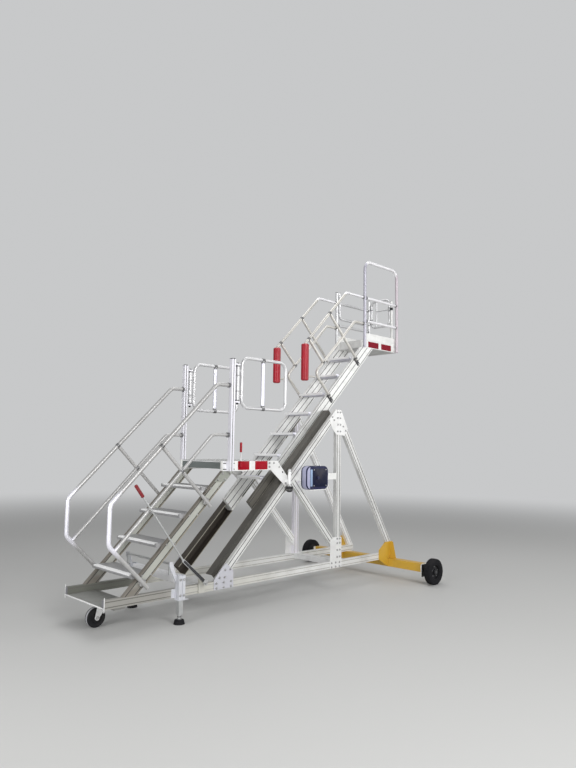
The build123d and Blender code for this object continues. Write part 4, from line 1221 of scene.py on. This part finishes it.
@dataclass
class FasciaBoards:
    """Red boards on a white ground along the platforms' sides, and the white toe boards above."""

    middle_y: float = 0.3725
    middle_ground: tuple[Run, Run] = ((1.405, 1.394), (1.866, 1.494))
    middle_boards: tuple[Run, Run] = ((1.447, 1.602), (1.683, 1.860))
    middle_board_z: Run = (1.402, 1.492)
    top_y: float = 0.225
    top_ground: tuple[Run, Run] = ((3.700, 2.966), (4.318, 3.054))
    top_boards: tuple[Run, Run] = ((3.770, 3.990), (4.050, 4.268))
    top_board_z: Run = (2.971, 3.049)
    toe: tuple[Run, Run] = ((3.700, 3.068), (4.342, 3.154))
    toe_back: Run = (-0.0075, -0.006)
    thickness: float = 0.0015
    corner: float = 0.004
    board_corner: float = 0.006
    edge: float = 0.0004
    toe_edge: float = 0.0005

    def build(self) -> None:
        """Makes those of both platforms on both sides."""
        for side in Side:
            middle = (self.middle_y, self.middle_ground, self.middle_boards, self.middle_board_z)
            self.boards(side, "middle", *middle, Body.FRAME)
            self.boards(side, "top", self.top_y, self.top_ground, self.top_boards, self.top_board_z, Body.STAIR)
            toe = Shape()
            for start, end in ((0.0, self.thickness), self.toe_back):
                toe.plate(rounded(*self.toe, self.corner), flat(start, end, self.top_y, side), self.toe_edge)
            toe.piece(f"toe_boards_{side.word}", WHITE, Body.STAIR)

    def boards(
        self,
        side: Side,
        name: str,
        y: float,
        ground: tuple[Run, Run],
        spans: tuple[Run, Run],
        z_range: Run,
        body: Body,
    ) -> None:
        """Makes one ground with its boards.

        Args:
            side: which side of the stand.
            name: the platform's name.
            y: the face that they are on.
            ground: the low and high corner of the white ground.
            spans: front and rear end of each board.
            z_range: the boards' lower and upper edge.
            body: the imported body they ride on.
        """
        back = Shape()
        back.plate(rounded(*ground, self.corner), flat(0.0, self.thickness, y, side), self.edge)
        back.piece(f"{name}_board_ground_{side.word}", WHITE, body)
        front = Shape()
        for low, high in spans:
            outline = rounded((low, z_range[0]), (high, z_range[1]), self.board_corner)
            front.plate(outline, flat(self.thickness, 2 * self.thickness, y, side), self.edge)
        front.piece(f"{name}_boards_{side.word}", RED_BOARD, body, "red_paint")


@dataclass
class LowerRailJoints:
    """Rings where the lower handrails meet the posts and the struts, and the bolts on their feet."""

    rail_y: float = 0.402
    tube: float = 0.020
    post_ring_x: float = 1.2795
    post_ring: Run = (0.025, 0.024)
    strut_ring: Run = (0.0235, 0.030)
    hand_z: float = 2.265
    mid_z: float = 1.758
    hand_line: float = -1.130
    mid_line: float = -0.670
    strut_sum: float = 2.140
    foot_sums: Run = (0.772, 2.140)
    pad_line: float = -0.075
    bolt: Run = (0.012, 0.006)
    bolt_shift: float = 0.021

    def build(self) -> None:
        """Makes them on both sides."""
        bolts = bolt_pattern(*self.bolt)
        for side in Side:
            y = side.value * self.rail_y
            rings = Shape()
            for z in (self.hand_z, self.mid_z):
                rings.collar(at(self.post_ring_x, y, z), BACK, self.tube, *self.post_ring)
            for line in (self.hand_line, self.mid_line):
                x, z = crossing(line, self.strut_sum)
                rings.collar(at(x, y, z), SLOPE, self.tube, *self.strut_ring)
            rings.piece(f"lower_rail_rings_{side.word}", DARK_ZINC, Body.FRAME, "zinc_steel")
            places = []
            for total in self.foot_sums:
                x, z = crossing(self.pad_line, total)
                places += [(x + shift, z + shift) for shift in (-self.bolt_shift, self.bolt_shift)]
            spots = bolt_spots(side, self.rail_y, places)
            bolts.piece(f"lower_foot_bolts_{side.word}", spots, BOLT, Body.FRAME)


@dataclass
class SwingGuardFittings:
    """Hinge rings, centre bar clamps and sleeves, and the hinge pins' knobs of the swing guards."""

    y: float = 0.415
    hinge_x: float = 1.385
    hinge_radius: float = 0.019
    hinge_z: Run = (2.105, 2.480)
    hinge_rings: tuple[Size, ...] = ((0.010, 0.0225, 0.012), (0.105, 0.0215, 0.006))     # rise, radius, width
    lug: float = 0.0143
    pin_low: Run = (0.013, 0.018)
    pin_high: Run = (0.012, 0.012)
    bar_x: float = 1.737
    bar_z: Run = (2.042, 2.566)
    tube: float = 0.017
    clamp: float = 0.0205
    clamp_widths: Run = (0.040, 0.014)
    clamp_rise: float = 0.026
    sleeve_gap: float = 0.034
    sleeve: Run = (0.0171, 0.021)

    def build(self) -> None:
        """Makes them on both sides."""
        for side, guard in ((Side.NEAR, Body.GUARD_NEAR), (Side.FAR, Body.GUARD_FAR)):
            y = side.value * self.y
            rings = Shape()
            for z, way in zip(self.hinge_z, (1, -1)):
                for rise, radius, width in self.hinge_rings:
                    rings.collar(at(self.hinge_x, y, z + way * rise), UP, self.hinge_radius, radius, width)
            for z, way in zip(self.bar_z, (1, -1)):
                centre = at(self.bar_x, y, z)
                rings.collar(centre, BACK, self.tube, self.clamp, self.clamp_widths[0])
                rings.collar(centre + UP * way * self.clamp_rise, UP, self.tube, self.clamp, self.clamp_widths[1])
            rings.piece(f"guard_rings_{side.word}", DARK_ZINC, guard, "zinc_steel")
            bar = Shape()
            middle, length = sum(self.bar_z) / 2, self.bar_z[1] - self.bar_z[0] - 2 * self.sleeve_gap
            bar.collar(at(self.bar_x, y, middle), UP, *self.sleeve, length)
            bar.piece(f"guard_bar_sleeve_{side.word}", BAR_SLEEVE, guard, "zinc_tube")
            pins = Shape()
            pins.knob(at(self.hinge_x, y, self.hinge_z[0] - self.lug), -UP, *self.pin_low)
            pins.knob(at(self.hinge_x, y, self.hinge_z[1] + self.lug), UP, *self.pin_high)
            pins.piece(f"guard_pins_{side.word}", BLACK, Body.FRAME, "dark_steel")


@dataclass
class UpperRailJoints:
    """Rings, foot plates, foot bolts and sleeve pads of the upper handrails."""

    rail_y: float = 0.242
    tube: float = 0.017
    hand_line: float = -0.315
    mid_line: float = 0.200
    foot_line: float = 0.737
    strut_sums: Run = (5.550, 6.290)
    foot_sums: Run = (6.290, 5.270)
    hoop_ring_x: float = 3.644
    hand_z: float = 3.620
    mid_z: float = 3.270
    strut_ring: Run = (0.021, 0.034)
    hoop_ring: Run = (0.0215, 0.022)
    foot_ring: Run = (0.021, 0.024)
    foot_rise: float = 0.028
    foot_drop: float = 0.030
    foot_half: Run = (0.058, 0.024)
    foot_corner: float = 0.008
    foot_sheet: float = 0.006
    bolt_drop: float = 0.042
    bolt: Run = (0.013, 0.007)
    pad_x: float = 2.556
    pad_z: Run = (2.428, 2.866)
    pad_radii: Size = (0.020, 0.034, 0.046)
    pad_ease: float = 0.010
    pad_sides: int = 32

    def build(self) -> None:
        """Makes them on both sides."""
        bolts = bolt_pattern(*self.bolt)
        struts = [(self.hand_line, total) for total in self.strut_sums] + [(self.mid_line, self.strut_sums[0])]
        feet = [at(x, 0.0, z) for x, z in (crossing(self.foot_line, total) for total in self.foot_sums)]
        for side in Side:
            y = side.value * self.rail_y
            rings = Shape()
            for line, total in struts:
                x, z = crossing(line, total)
                rings.collar(at(x, y, z), SLOPE, self.tube, *self.strut_ring)
            for z in (self.hand_z, self.mid_z):
                rings.collar(at(self.hoop_ring_x, y, z), BACK, self.tube, *self.hoop_ring)
            for foot in feet:
                rings.collar(foot + ACROSS * y - FALL * self.foot_rise, FALL, self.tube, *self.foot_ring)
            rings.piece(f"upper_rail_rings_{side.word}", DARK_ZINC, Body.STAIR, "zinc_steel")
            plates = Shape()
            start, end = flat(-self.tube, self.foot_sheet - self.tube, self.rail_y, side)
            low, high = tuple(-half for half in self.foot_half), self.foot_half
            for foot in feet:
                centre = foot + FALL * self.foot_drop + ACROSS * start
                outline = rounded(low, high, self.foot_corner)
                plates.prism([centre + FALL * a + SLOPE * b for a, b in outline], ACROSS * (end - start))
            plates.piece(f"upper_foot_plates_{side.word}", DARK, Body.STAIR, "dark_steel")
            face = ACROSS * (side.value * (self.rail_y - self.tube + self.foot_sheet))
            reach = FALL * (self.foot_drop + self.bolt_drop)
            spots = [(foot + reach + face, outward(side), BACK) for foot in feet]
            bolts.piece(f"upper_foot_bolts_{side.word}", spots, BOLT, Body.STAIR)
            self.pad(side)

    def pad(self, side: Side) -> None:
        """Makes the thick red pad round one handrail's sleeve.

        Args:
            side: which side the handrail is on.
        """
        core, inner, outer = self.pad_radii
        low, high = self.pad_z
        pad = Shape()
        profile = [(core, low), (inner, low), (outer, low + self.pad_ease)]
        profile += [(outer, high - self.pad_ease), (inner, high), (core, high)]
        pad.lathe(profile, at(self.pad_x, side.value * self.rail_y, 0.0), UP, self.pad_sides)
        pad.piece(f"sleeve_pad_{side.word}", RED, Body.STAIR, "red_paint")


@dataclass
class TopPlatformFittings:
    """Post caps, rail clamps, the gate's rings and the keeper of its latch."""

    hoop: Run = (3.676, 4.378)
    guard_y: float = 0.245
    post_top: float = 3.765
    pair_x: float = 3.734
    tube: float = 0.017
    post: float = 0.020
    cap: float = 0.006
    post_cap: float = 0.007
    rail_z: Run = (3.310, 3.620)
    clamp: Run = (0.0215, 0.018)
    clamp_gap: float = 0.030
    hinge_y: float = 0.195
    hinge_z: Run = (3.430, 3.640)
    hinge_ring: Run = (0.019, 0.012)
    hinge_gap: float = 0.016
    lug: float = 0.030
    gate_tube: float = 0.015
    latch_y: float = -0.118
    latch_ring: Run = (0.0185, 0.010)
    latch_gap: float = 0.022
    latch_post_y: float = -0.157
    latch_z: float = 3.592
    latch_post_top: float = 3.700
    keeper: float = 0.020
    keeper_rings: tuple[Run, Run] = ((0.0, 0.034), (0.26, 0.020))

    def build(self) -> None:
        """Makes them all."""
        front, rear = self.hoop
        clamps = Shape()
        for side, z, x in product(Side, self.rail_z, (front + self.clamp_gap, rear - self.clamp_gap)):
            clamps.collar(at(x, side.value * self.guard_y, z), BACK, self.tube, *self.clamp)
        clamps.piece("top_rail_clamps", DARK_ZINC, Body.STAIR, "zinc_steel")
        caps = Shape()
        for x in self.hoop:
            caps.knob(at(x, self.guard_y, self.post_top), UP, self.post, self.post_cap)
        caps.knob(at(self.pair_x, self.guard_y, self.post_top), UP, self.tube, self.cap)
        caps.knob(at(rear, self.latch_post_y, self.latch_post_top), UP, self.tube, self.cap)
        caps.piece("top_post_caps", BLACK, Body.STAIR, "dark_steel")
        knuckles = Shape()
        for z in self.hinge_z:
            for level in (z - self.hinge_gap, z + self.lug + self.hinge_gap):
                knuckles.collar(at(rear, self.hinge_y, level), UP, self.gate_tube, *self.hinge_ring)
        for level in (self.latch_z - self.latch_gap, self.latch_z + self.latch_gap):
            knuckles.collar(at(rear, self.latch_y, level), UP, self.gate_tube, *self.latch_ring)
        knuckles.piece("gate_rings", DARK_ZINC, Body.GATE, "zinc_steel")
        keeper = Shape()
        for drop, width in self.keeper_rings:
            keeper.collar(at(rear, self.latch_post_y, self.latch_z - drop), UP, self.tube, self.keeper, width)
        keeper.piece("gate_keeper", DARK, Body.STAIR, "dark_steel")


@dataclass
class WinchFittings:
    """The rims, panel, foot strip and screws of the winch's housing, with a painted highlight band on its face and a
    painted lavender reflection over its front part.
    """

    low: Run = (2.382, 1.170)
    high: Run = (2.733, 1.430)
    face_y: float = 0.4625
    inner_y: float = 0.3725
    corner: float = 0.062
    rim_starts: Run = (0.012, 0.078)
    rim_width: float = 0.006
    rim_rise: float = 0.003
    panel: tuple[Run, Run] = ((2.482, 1.196), (2.712, 1.404))
    panel_form: Size = (0.02, 0.002, 0.0006)            # radius of the corners, rise, rounding
    highlight_band: tuple[Run, Run] = ((2.440, 1.205), (2.472, 1.395))
    highlight_form: Size = (0.008, 0.0035, 0.0004)
    reflection_side: Size = (0.019, 0.077, 0.0005)           # start, end, rounding
    reflection_face: Size = (0.0, 0.0015, 0.0004)
    reflection_rise: float = 0.002
    reflection_inset: float = 0.006
    strip: tuple[Run, Run] = ((2.44, 1.160), (2.70, 1.1695))
    strip_depth: Run = (0.01, 0.085)
    strip_corner: float = 0.003
    tab_z: Run = (1.168, 1.190)
    tab_width: float = 0.02
    tab_depth: float = 0.012
    screw: Run = (0.010, 0.005)
    screw_x: Run = (2.497, 2.697)
    screw_z: Run = (1.211, 1.389)

    def build(self) -> None:
        """Makes them on the near side."""
        near = Side.NEAR
        rim = Shape()
        outline = self.grown(self.rim_rise, self.rim_rise, self.corner + self.rim_rise)
        for start in self.rim_starts:
            rim.plate(outline, flat(start, start + self.rim_width, self.inner_y, near))
        rim.piece("winch_rims", BLUE, Body.FRAME, "blue_paint")
        # the navy panel, and the pale band that is a painted highlight
        for name, finish, corners, (radius, rise, edge) in (
            ("winch_panel", NAVY, self.panel, self.panel_form),
            ("winch_highlight_band", PALE_BLUE, self.highlight_band, self.highlight_form),
        ):
            panel = Shape()
            panel.plate(rounded(*corners, radius), flat(0.0, rise, self.face_y, near), edge)
            panel.piece(name, finish, Body.FRAME, "blue_paint")
        # painted reflection: a lavender patch over the housing's front part
        guard = Shape()
        middle = self.highlight_band[0][0]
        for by, (start, end, edge), y in (
            (self.reflection_rise, self.reflection_side, self.inner_y), (-self.reflection_inset, self.reflection_face, self.face_y)
        ):
            limit = min(middle, middle + by)
            outline = [(min(x, limit), z) for x, z in self.grown(by, 0.0, self.corner)]
            guard.plate(outline, flat(start, end, y, near), edge)
        guard.piece("winch_side_reflection", LAVENDER, Body.FRAME, "blue_paint")
        self.foot_strip()
        spots = bolt_spots(near, self.face_y + self.panel_form[1], product(self.screw_x, self.screw_z))
        bolt_pattern(*self.screw).piece("winch_screws", spots, BOLT, Body.FRAME)

    def grown(self, by: float, at_rear: float, radius: float) -> list[Run]:
        """The housing's outline moved out by one length, and at its rear end by another."""
        low = (self.low[0] - by, self.low[1] - by)
        return rounded(low, (self.high[0] + at_rear, self.high[1] + by), radius)

    def foot_strip(self) -> None:
        """Makes the white strip under the housing with its two tabs."""
        (start, _), (end, _) = self.strip
        low, high = self.tab_z
        strip = Shape()
        strip.plate(rounded(*self.strip, self.strip_corner), flat(*self.strip_depth, self.inner_y, Side.NEAR))
        for x in (start + self.tab_width, end - 2 * self.tab_width):
            corners = [(x, low), (x, high), (x + self.tab_width, high), (x + self.tab_width, low)]
            strip.plate(corners, flat(0.0, self.tab_depth, self.inner_y, Side.NEAR))
        strip.piece("winch_foot_strip", WHITE, Body.FRAME, "zinc_steel")


@dataclass
class AxleFittings:
    """The wheels' bead rings, hub rings and nuts."""

    axle: Run = (4.037, 0.155)
    half_track: float = 1.029
    tyre_half: float = 0.040
    beads: tuple[Size, ...] = (         # outer radius, thickness, how deep in the tyre's face
        (0.150, 0.003, 0.0125), (0.122, 0.0025, 0.0016), (0.100, 0.0025, 0.0016),
    )
    bead_width: float = 0.003
    hub_depths: Run = (0.026, 0.006)
    hub_rings: tuple[Size, ...] = ((0.038, 0.045, 0.006), (0.034, 0.0365, 0.010))
    nut_face: float = 0.029
    nut: Run = (0.014, 0.009)
    nut_count: int = 5
    nut_start_deg: float = 18.0
    bolt_circle: float = 0.058

    def build(self) -> None:
        """Makes them on both sides."""
        nuts = bolt_pattern(*self.nut)
        for side, body in ((Side.NEAR, Body.WHEEL_NEAR), (Side.FAR, Body.WHEEL_FAR)):
            out = outward(side)
            centre = at(self.axle[0], side.value * (self.half_track + self.tyre_half), self.axle[1])
            rings = Shape()
            for radius, width, depth in self.beads:
                rings.collar(centre - out * depth, out, radius - width, radius, self.bead_width)
            rings.piece(f"tyre_beads_{side.word}", RUBBER, body, "black_rubber")
            hub = Shape()
            for depth, ring in zip(self.hub_depths, self.hub_rings):
                hub.collar(centre - out * depth, out, *ring)
            hub.piece(f"hub_rings_{side.word}", DARK, body, "zinc_steel")
            spots = []
            for turn in range(self.nut_count):
                angle = math.radians(360 / self.nut_count * turn + self.nut_start_deg)
                spoke = BACK * math.cos(angle) + UP * math.sin(angle)
                spots.append((centre - out * self.nut_face + spoke * self.bolt_circle, out, spoke))
            nuts.piece(f"wheel_nuts_{side.word}", spots, DARK_ZINC, body)


@dataclass
class CasterFittings:
    """The front caster's bearing race, fork nuts, hub rings and fork plugs."""

    turn_x: float = 0.172
    wheel: Run = (0.117, 0.088)
    race_z: float = 0.1892
    race: Size = (0.030, 0.042, 0.006)
    fork_outer: float = 0.040
    nut: Run = (0.022, 0.010)
    hub_y: float = 0.0235
    hub_rings: tuple[Size, ...] = ((0.020, 0.026, 0.005), (0.042, 0.047, 0.003))
    plug_at: Run = (0.176, 0.158)
    plug: Run = (0.011, 0.0015)

    def build(self) -> None:
        """Makes them."""
        race = Shape()
        race.collar(at(self.turn_x, 0.0, self.race_z), UP, *self.race)
        race.piece("caster_race", DARK_ZINC, Body.CASTER, "zinc_steel")
        spots = [spot for side in Side for spot in bolt_spots(side, self.fork_outer, [self.wheel])]
        bolt_pattern(*self.nut).piece("caster_axle_nuts", spots, BOLT, Body.CASTER)
        hub, plugs = Shape(), Shape()
        for side in Side:
            centre = at(self.wheel[0], side.value * self.hub_y, self.wheel[1])
            for ring in self.hub_rings:
                hub.collar(centre, ACROSS, *ring)
            plugs.knob(at(self.plug_at[0], side.value * self.fork_outer, self.plug_at[1]), outward(side), *self.plug)
        hub.piece("caster_hub_rings", GREY_RUBBER, Body.CASTER_WHEEL, "grey_rubber")
        plugs.piece("caster_fork_plugs", BLACK, Body.CASTER, "dark_steel")


@dataclass
class JackFittings:
    """Bolts on the two jacks' sleeves and rings on their pads."""

    x: float = 0.745
    y: float = 0.4135
    outer_y: float = 0.4485
    bolt: Run = (0.018, 0.009)
    bolt_shift: float = 0.020
    bolt_z: Run = (0.262, 0.405)
    pad_top: float = 0.038
    rings: tuple[Size, ...] = ((0.005, 0.024, 0.009), (0.028, 0.019, 0.010))     # rise, radius, width
    ring_inner: float = 0.015

    def build(self) -> None:
        """Makes them on both sides."""
        bolts = bolt_pattern(*self.bolt)
        places = [(self.x + way * self.bolt_shift, z) for z in self.bolt_z for way in (-1, 1)]
        for side, body in ((Side.NEAR, Body.JACK_NEAR), (Side.FAR, Body.JACK_FAR)):
            spots = bolt_spots(side, self.outer_y, places)
            bolts.piece(f"jack_bolts_{side.word}", spots, BOLT, Body.FRAME)
            rings = Shape()
            for rise, outer, width in self.rings:
                centre = at(self.x, side.value * self.y, self.pad_top + rise)
                rings.collar(centre, UP, self.ring_inner, outer, width)
            rings.piece(f"jack_pad_rings_{side.word}", DARK_ZINC, body, "dark_steel")


@dataclass
class LeverFittings:
    """The pivot's nut, the grip's rings and the flat lower bar's cover on the jack lever."""

    pivot: Run = (1.016, 0.340)
    knee: Run = (0.752, 0.575)
    tip: Run = (0.215, 1.290)
    outer_y: float = 0.4505
    inner_y: float = 0.4385
    middle_y: float = 0.4445
    nut: Run = (0.026, 0.010)
    flat_half: float = 0.0157
    cover: float = 0.0008
    cover_gaps: Run = (0.030, 0.004)
    cover_taper: float = 0.7
    grip_length: float = 0.135
    grip_margin: float = 0.012
    ring_count: int = 9
    ring: Size = (0.014, 0.0162, 0.006)

    def build(self) -> None:
        """Makes them on the near side."""
        spots = bolt_spots(Side.NEAR, self.outer_y, [self.pivot])
        bolt_pattern(*self.nut).piece("lever_nut", spots, BOLT, Body.LEVER)
        rod = Vector((self.tip[0] - self.knee[0], 0.0, self.tip[1] - self.knee[1])).normalized()
        tip = at(self.tip[0], -self.middle_y, self.tip[1])
        spacing = (self.grip_length - 2 * self.grip_margin) / (self.ring_count - 1)
        rings = Shape()
        for count in range(self.ring_count):
            rings.collar(tip - rod * (self.grip_margin + count * spacing), rod, *self.ring)
        rings.piece("lever_grip_rings", GRIP, Body.LEVER, "red_paint")
        along = (Vector(self.knee) - Vector(self.pivot)).normalized()
        side = Vector((-along.y, along.x)) * self.flat_half
        start, end = Vector(self.pivot) + along * self.cover_gaps[0], Vector(self.knee) - along * self.cover_gaps[1]
        thin = side * self.cover_taper
        cover = Shape()
        corners = [tuple(point) for point in (start + side, start - side, end - thin, end + thin)]
        cover.plate(corners, (-self.outer_y - self.cover, -self.inner_y + self.cover), self.cover / 2)
        cover.piece("lever_flat_cover", DARK, Body.LEVER, "dark_steel")


@dataclass
class TrackFittings:
    """The track lock's knob and rings and the release handle's grip rings."""

    lock: Size = (2.155, -0.4165, 1.177)
    lock_top: float = 1.391
    lock_rings: tuple[float, ...] = (0.008, 0.020, 0.032)
    lock_ring: Size = (0.037, 0.0398, 0.006)
    lock_profile: tuple[Run, ...] = (
        (0.012, -0.026), (0.027, -0.021), (0.0365, -0.009), (0.0385, 0.004), (0.0385, 0.038), (0.034, 0.0415),
        (0.0182, 0.0415),
    )
    lock_sides: int = 32
    sleeve_cap: Run = (0.0165, 0.012)
    sleeve_radii: Run = (0.018, 0.0205)
    sleeve_rings: tuple[Run, Run] = ((0.012, 0.014), (0.160, 0.010))
    handle: Size = (1.470, -0.3905, 1.680)
    grip_cap: Run = (0.0115, 0.006)
    grip_rings: tuple[float, ...] = (0.012, 0.030, 0.048, 0.066, 0.084)
    grip_ring: Size = (0.0115, 0.0132, 0.007)

    def build(self) -> None:
        """Makes them."""
        knob = Shape()
        centre = at(*self.lock)
        for rise in self.lock_rings:
            knob.collar(centre + UP * rise, UP, *self.lock_ring)
        knob.lathe(self.lock_profile, centre, UP, self.lock_sides)
        knob.piece("track_lock_knob", BLACK, Body.FRAME, "dark_steel")
        sleeve = Shape()
        top = at(*self.lock[:2], self.lock_top)
        sleeve.knob(top, UP, *self.sleeve_cap)
        for drop, width in self.sleeve_rings:
            sleeve.collar(top - UP * drop, UP, *self.sleeve_radii, width)
        sleeve.piece("track_lock_rings", ZINC, Body.FRAME, "zinc_steel")
        grip = Shape()
        top = at(*self.handle)
        grip.knob(top, UP, *self.grip_cap)
        for drop in self.grip_rings:
            grip.collar(top - UP * drop, UP, *self.grip_ring)
        grip.piece("release_grip_rings", RED, Body.FRAME, "red_paint")


@dataclass
class PackedSolids:
    """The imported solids, which get a finish and smooth shading and are otherwise left as they are."""

    def dress(self) -> None:
        """Gives each node the finish of its record slot, or its own."""
        tree = smooth_rounds()
        slots = {row["node"]: row["material_slot"] for row in frame["record"]["subparts"]}
        for name, node in frame["nodes"].items():
            finish = NODE_FINISHES.get(name, SLOT_FINISHES[slots[name]])
            node.data.materials.clear()
            node.data.materials.append(finish.material())
            node.modifiers.new("smooth", "NODES").node_group = tree
            log.info("%s: %s", name, finish.name)


@dataclass
class Studio:
    """The floor, the lamps and the camera at the photograph's place."""

    camera_at: Size = (-4.9985, -5.458, 1.654)
    yaw_deg: float = 44.31
    pitch_deg: float = 5.57
    roll_deg: float = 0.80
    lens_mm: float = 29.85
    sensor_mm: float = 36.0
    floor_half: float = 40.0
    floor_colour: Colour = (0.55, 0.55, 0.54)
    floor_roughness: float = 0.6
    sky_colour: Colour = (0.93, 0.94, 0.95)
    sky_strength: float = 0.28
    sky_mirrored: float = 0.42
    sky_seen: float = 0.62
    fade: Run = (5.5, 17.0)
    aim: Size = (0.0, 0.0, 1.6)

    def build(self) -> None:
        """Makes all of it."""
        self.floor()
        self.sky()
        self.lamp("key", (-1.5, -8.5, 5.5), 3.5, 340.0)
        self.lamp("top", (2.0, 1.0, 9.0), 6.0, 260.0)
        self.lamp("front", (-7.5, -1.5, 2.4), 2.5, 175.0)
        self.lamp("fill", (-3.5, -7.5, 2.4), 3.0, 140.0)
        self.lamp("side", (8.0, -8.0, 4.2), 4.0, 200.0)
        self.camera()

    def floor(self) -> None:
        """A plain pale floor that fades into the surround far from the stand."""
        mesh = bpy.data.meshes.new("studio_floor")
        half = self.floor_half
        mesh.from_pydata([(-half, -half, 0), (half, -half, 0), (half, half, 0), (-half, half, 0)], [], [(0, 1, 2, 3)])
        made = bpy.data.objects.new("studio_floor", mesh)
        bpy.context.scene.collection.objects.link(made)
        paint = bpy.data.materials.new("finish_floor")
        paint.use_nodes = True
        graph = Graph(paint.node_tree)
        place = graph.add("ShaderNodeTexCoord").outputs["Object"]
        away = graph.add("ShaderNodeVectorMath", {0: place}, operation="LENGTH").outputs["Value"]
        faded = graph.remap(away, self.fade, interpolation_type="SMOOTHSTEP")
        seen = graph.add("ShaderNodeLightPath").outputs["Is Camera Ray"]
        share = graph.add("ShaderNodeMath", {0: faded, 1: seen}, operation="MULTIPLY").outputs[0]
        coat = {"Base Color": self.floor_colour + (1.0,), "Roughness": self.floor_roughness}
        matt = graph.add("ShaderNodeBsdfPrincipled", coat).outputs["BSDF"]
        light = {"Color": self.sky_colour + (1.0,), "Strength": self.sky_seen}
        glow = graph.add("ShaderNodeEmission", light).outputs["Emission"]
        surface = graph.add("ShaderNodeMixShader", {0: share, 1: matt, 2: glow}).outputs["Shader"]
        graph.add("ShaderNodeOutputMaterial", {"Surface": surface})
        mesh.materials.append(paint)

    def sky(self) -> None:
        """An even pale surround, whiter to the camera and in reflections than its light."""
        world = bpy.data.worlds.new("studio")
        bpy.context.scene.world = world
        world.use_nodes = True
        graph = Graph(world.node_tree)
        rays = graph.add("ShaderNodeLightPath").outputs
        lit = graph.remap(rays["Is Glossy Ray"], end=(self.sky_strength, self.sky_mirrored))
        strength = graph.remap(rays["Is Camera Ray"], end=(lit, self.sky_seen))
        shade = graph.add("ShaderNodeBackground", {"Color": self.sky_colour + (1.0,), "Strength": strength})
        graph.add("ShaderNodeOutputWorld", {"Surface": shade.outputs[0]})

    def lamp(self, name: str, place: Size, size: float, power: float) -> None:
        """A soft square lamp aimed at the stand's middle.

        Args:
            name: the lamp's name.
            place: where it hangs.
            size: the length of its sides.
            power: its power in watts.
        """
        data = bpy.data.lights.new(name, "AREA")
        data.size = size
        data.energy = power
        made = bpy.data.objects.new(name, data)
        made.location = place
        made.rotation_euler = (Vector(self.aim) - Vector(place)).to_track_quat("-Z", "Y").to_euler()
        bpy.context.scene.collection.objects.link(made)

    def camera(self) -> None:
        """The camera that the photograph was fitted with."""
        yaw, pitch, roll = (math.radians(a) for a in (self.yaw_deg, self.pitch_deg, self.roll_deg))
        ahead = Vector((math.sin(yaw) * math.cos(pitch), math.cos(yaw) * math.cos(pitch), math.sin(pitch)))
        right = Vector((math.cos(yaw), -math.sin(yaw), 0.0))
        up = right.cross(ahead)
        turned_right = math.cos(roll) * right + math.sin(roll) * up
        turned_up = -math.sin(roll) * right + math.cos(roll) * up
        data = bpy.data.cameras.new("photo_camera")
        data.lens = self.lens_mm
        data.sensor_width = self.sensor_mm
        made = bpy.data.objects.new("photo_camera", data)
        rotation = Matrix((turned_right, turned_up, -ahead)).transposed().to_4x4()
        made.matrix_world = Matrix.Translation(self.camera_at) @ rotation
        bpy.context.scene.collection.objects.link(made)
        bpy.context.scene.camera = made
        bpy.context.scene.view_settings.view_transform = "Standard"


def main() -> None:
    """Builds the pieces in order."""
    logging.basicConfig(level=logging.INFO, format="%(name)s %(message)s")
    PackedSolids().dress()
    for assembly in (
        EndCaps(), Fasteners(), GrooveShade(), CheckerPlates(), TreadNosings(), FasciaBoards(), LowerRailJoints(),
        SwingGuardFittings(), UpperRailJoints(), TopPlatformFittings(), WinchFittings(), AxleFittings(),
        CasterFittings(), JackFittings(), LeverFittings(), TrackFittings(),
    ):
        assembly.build()
    Studio().build()


if __name__ == "__main__":
    main()
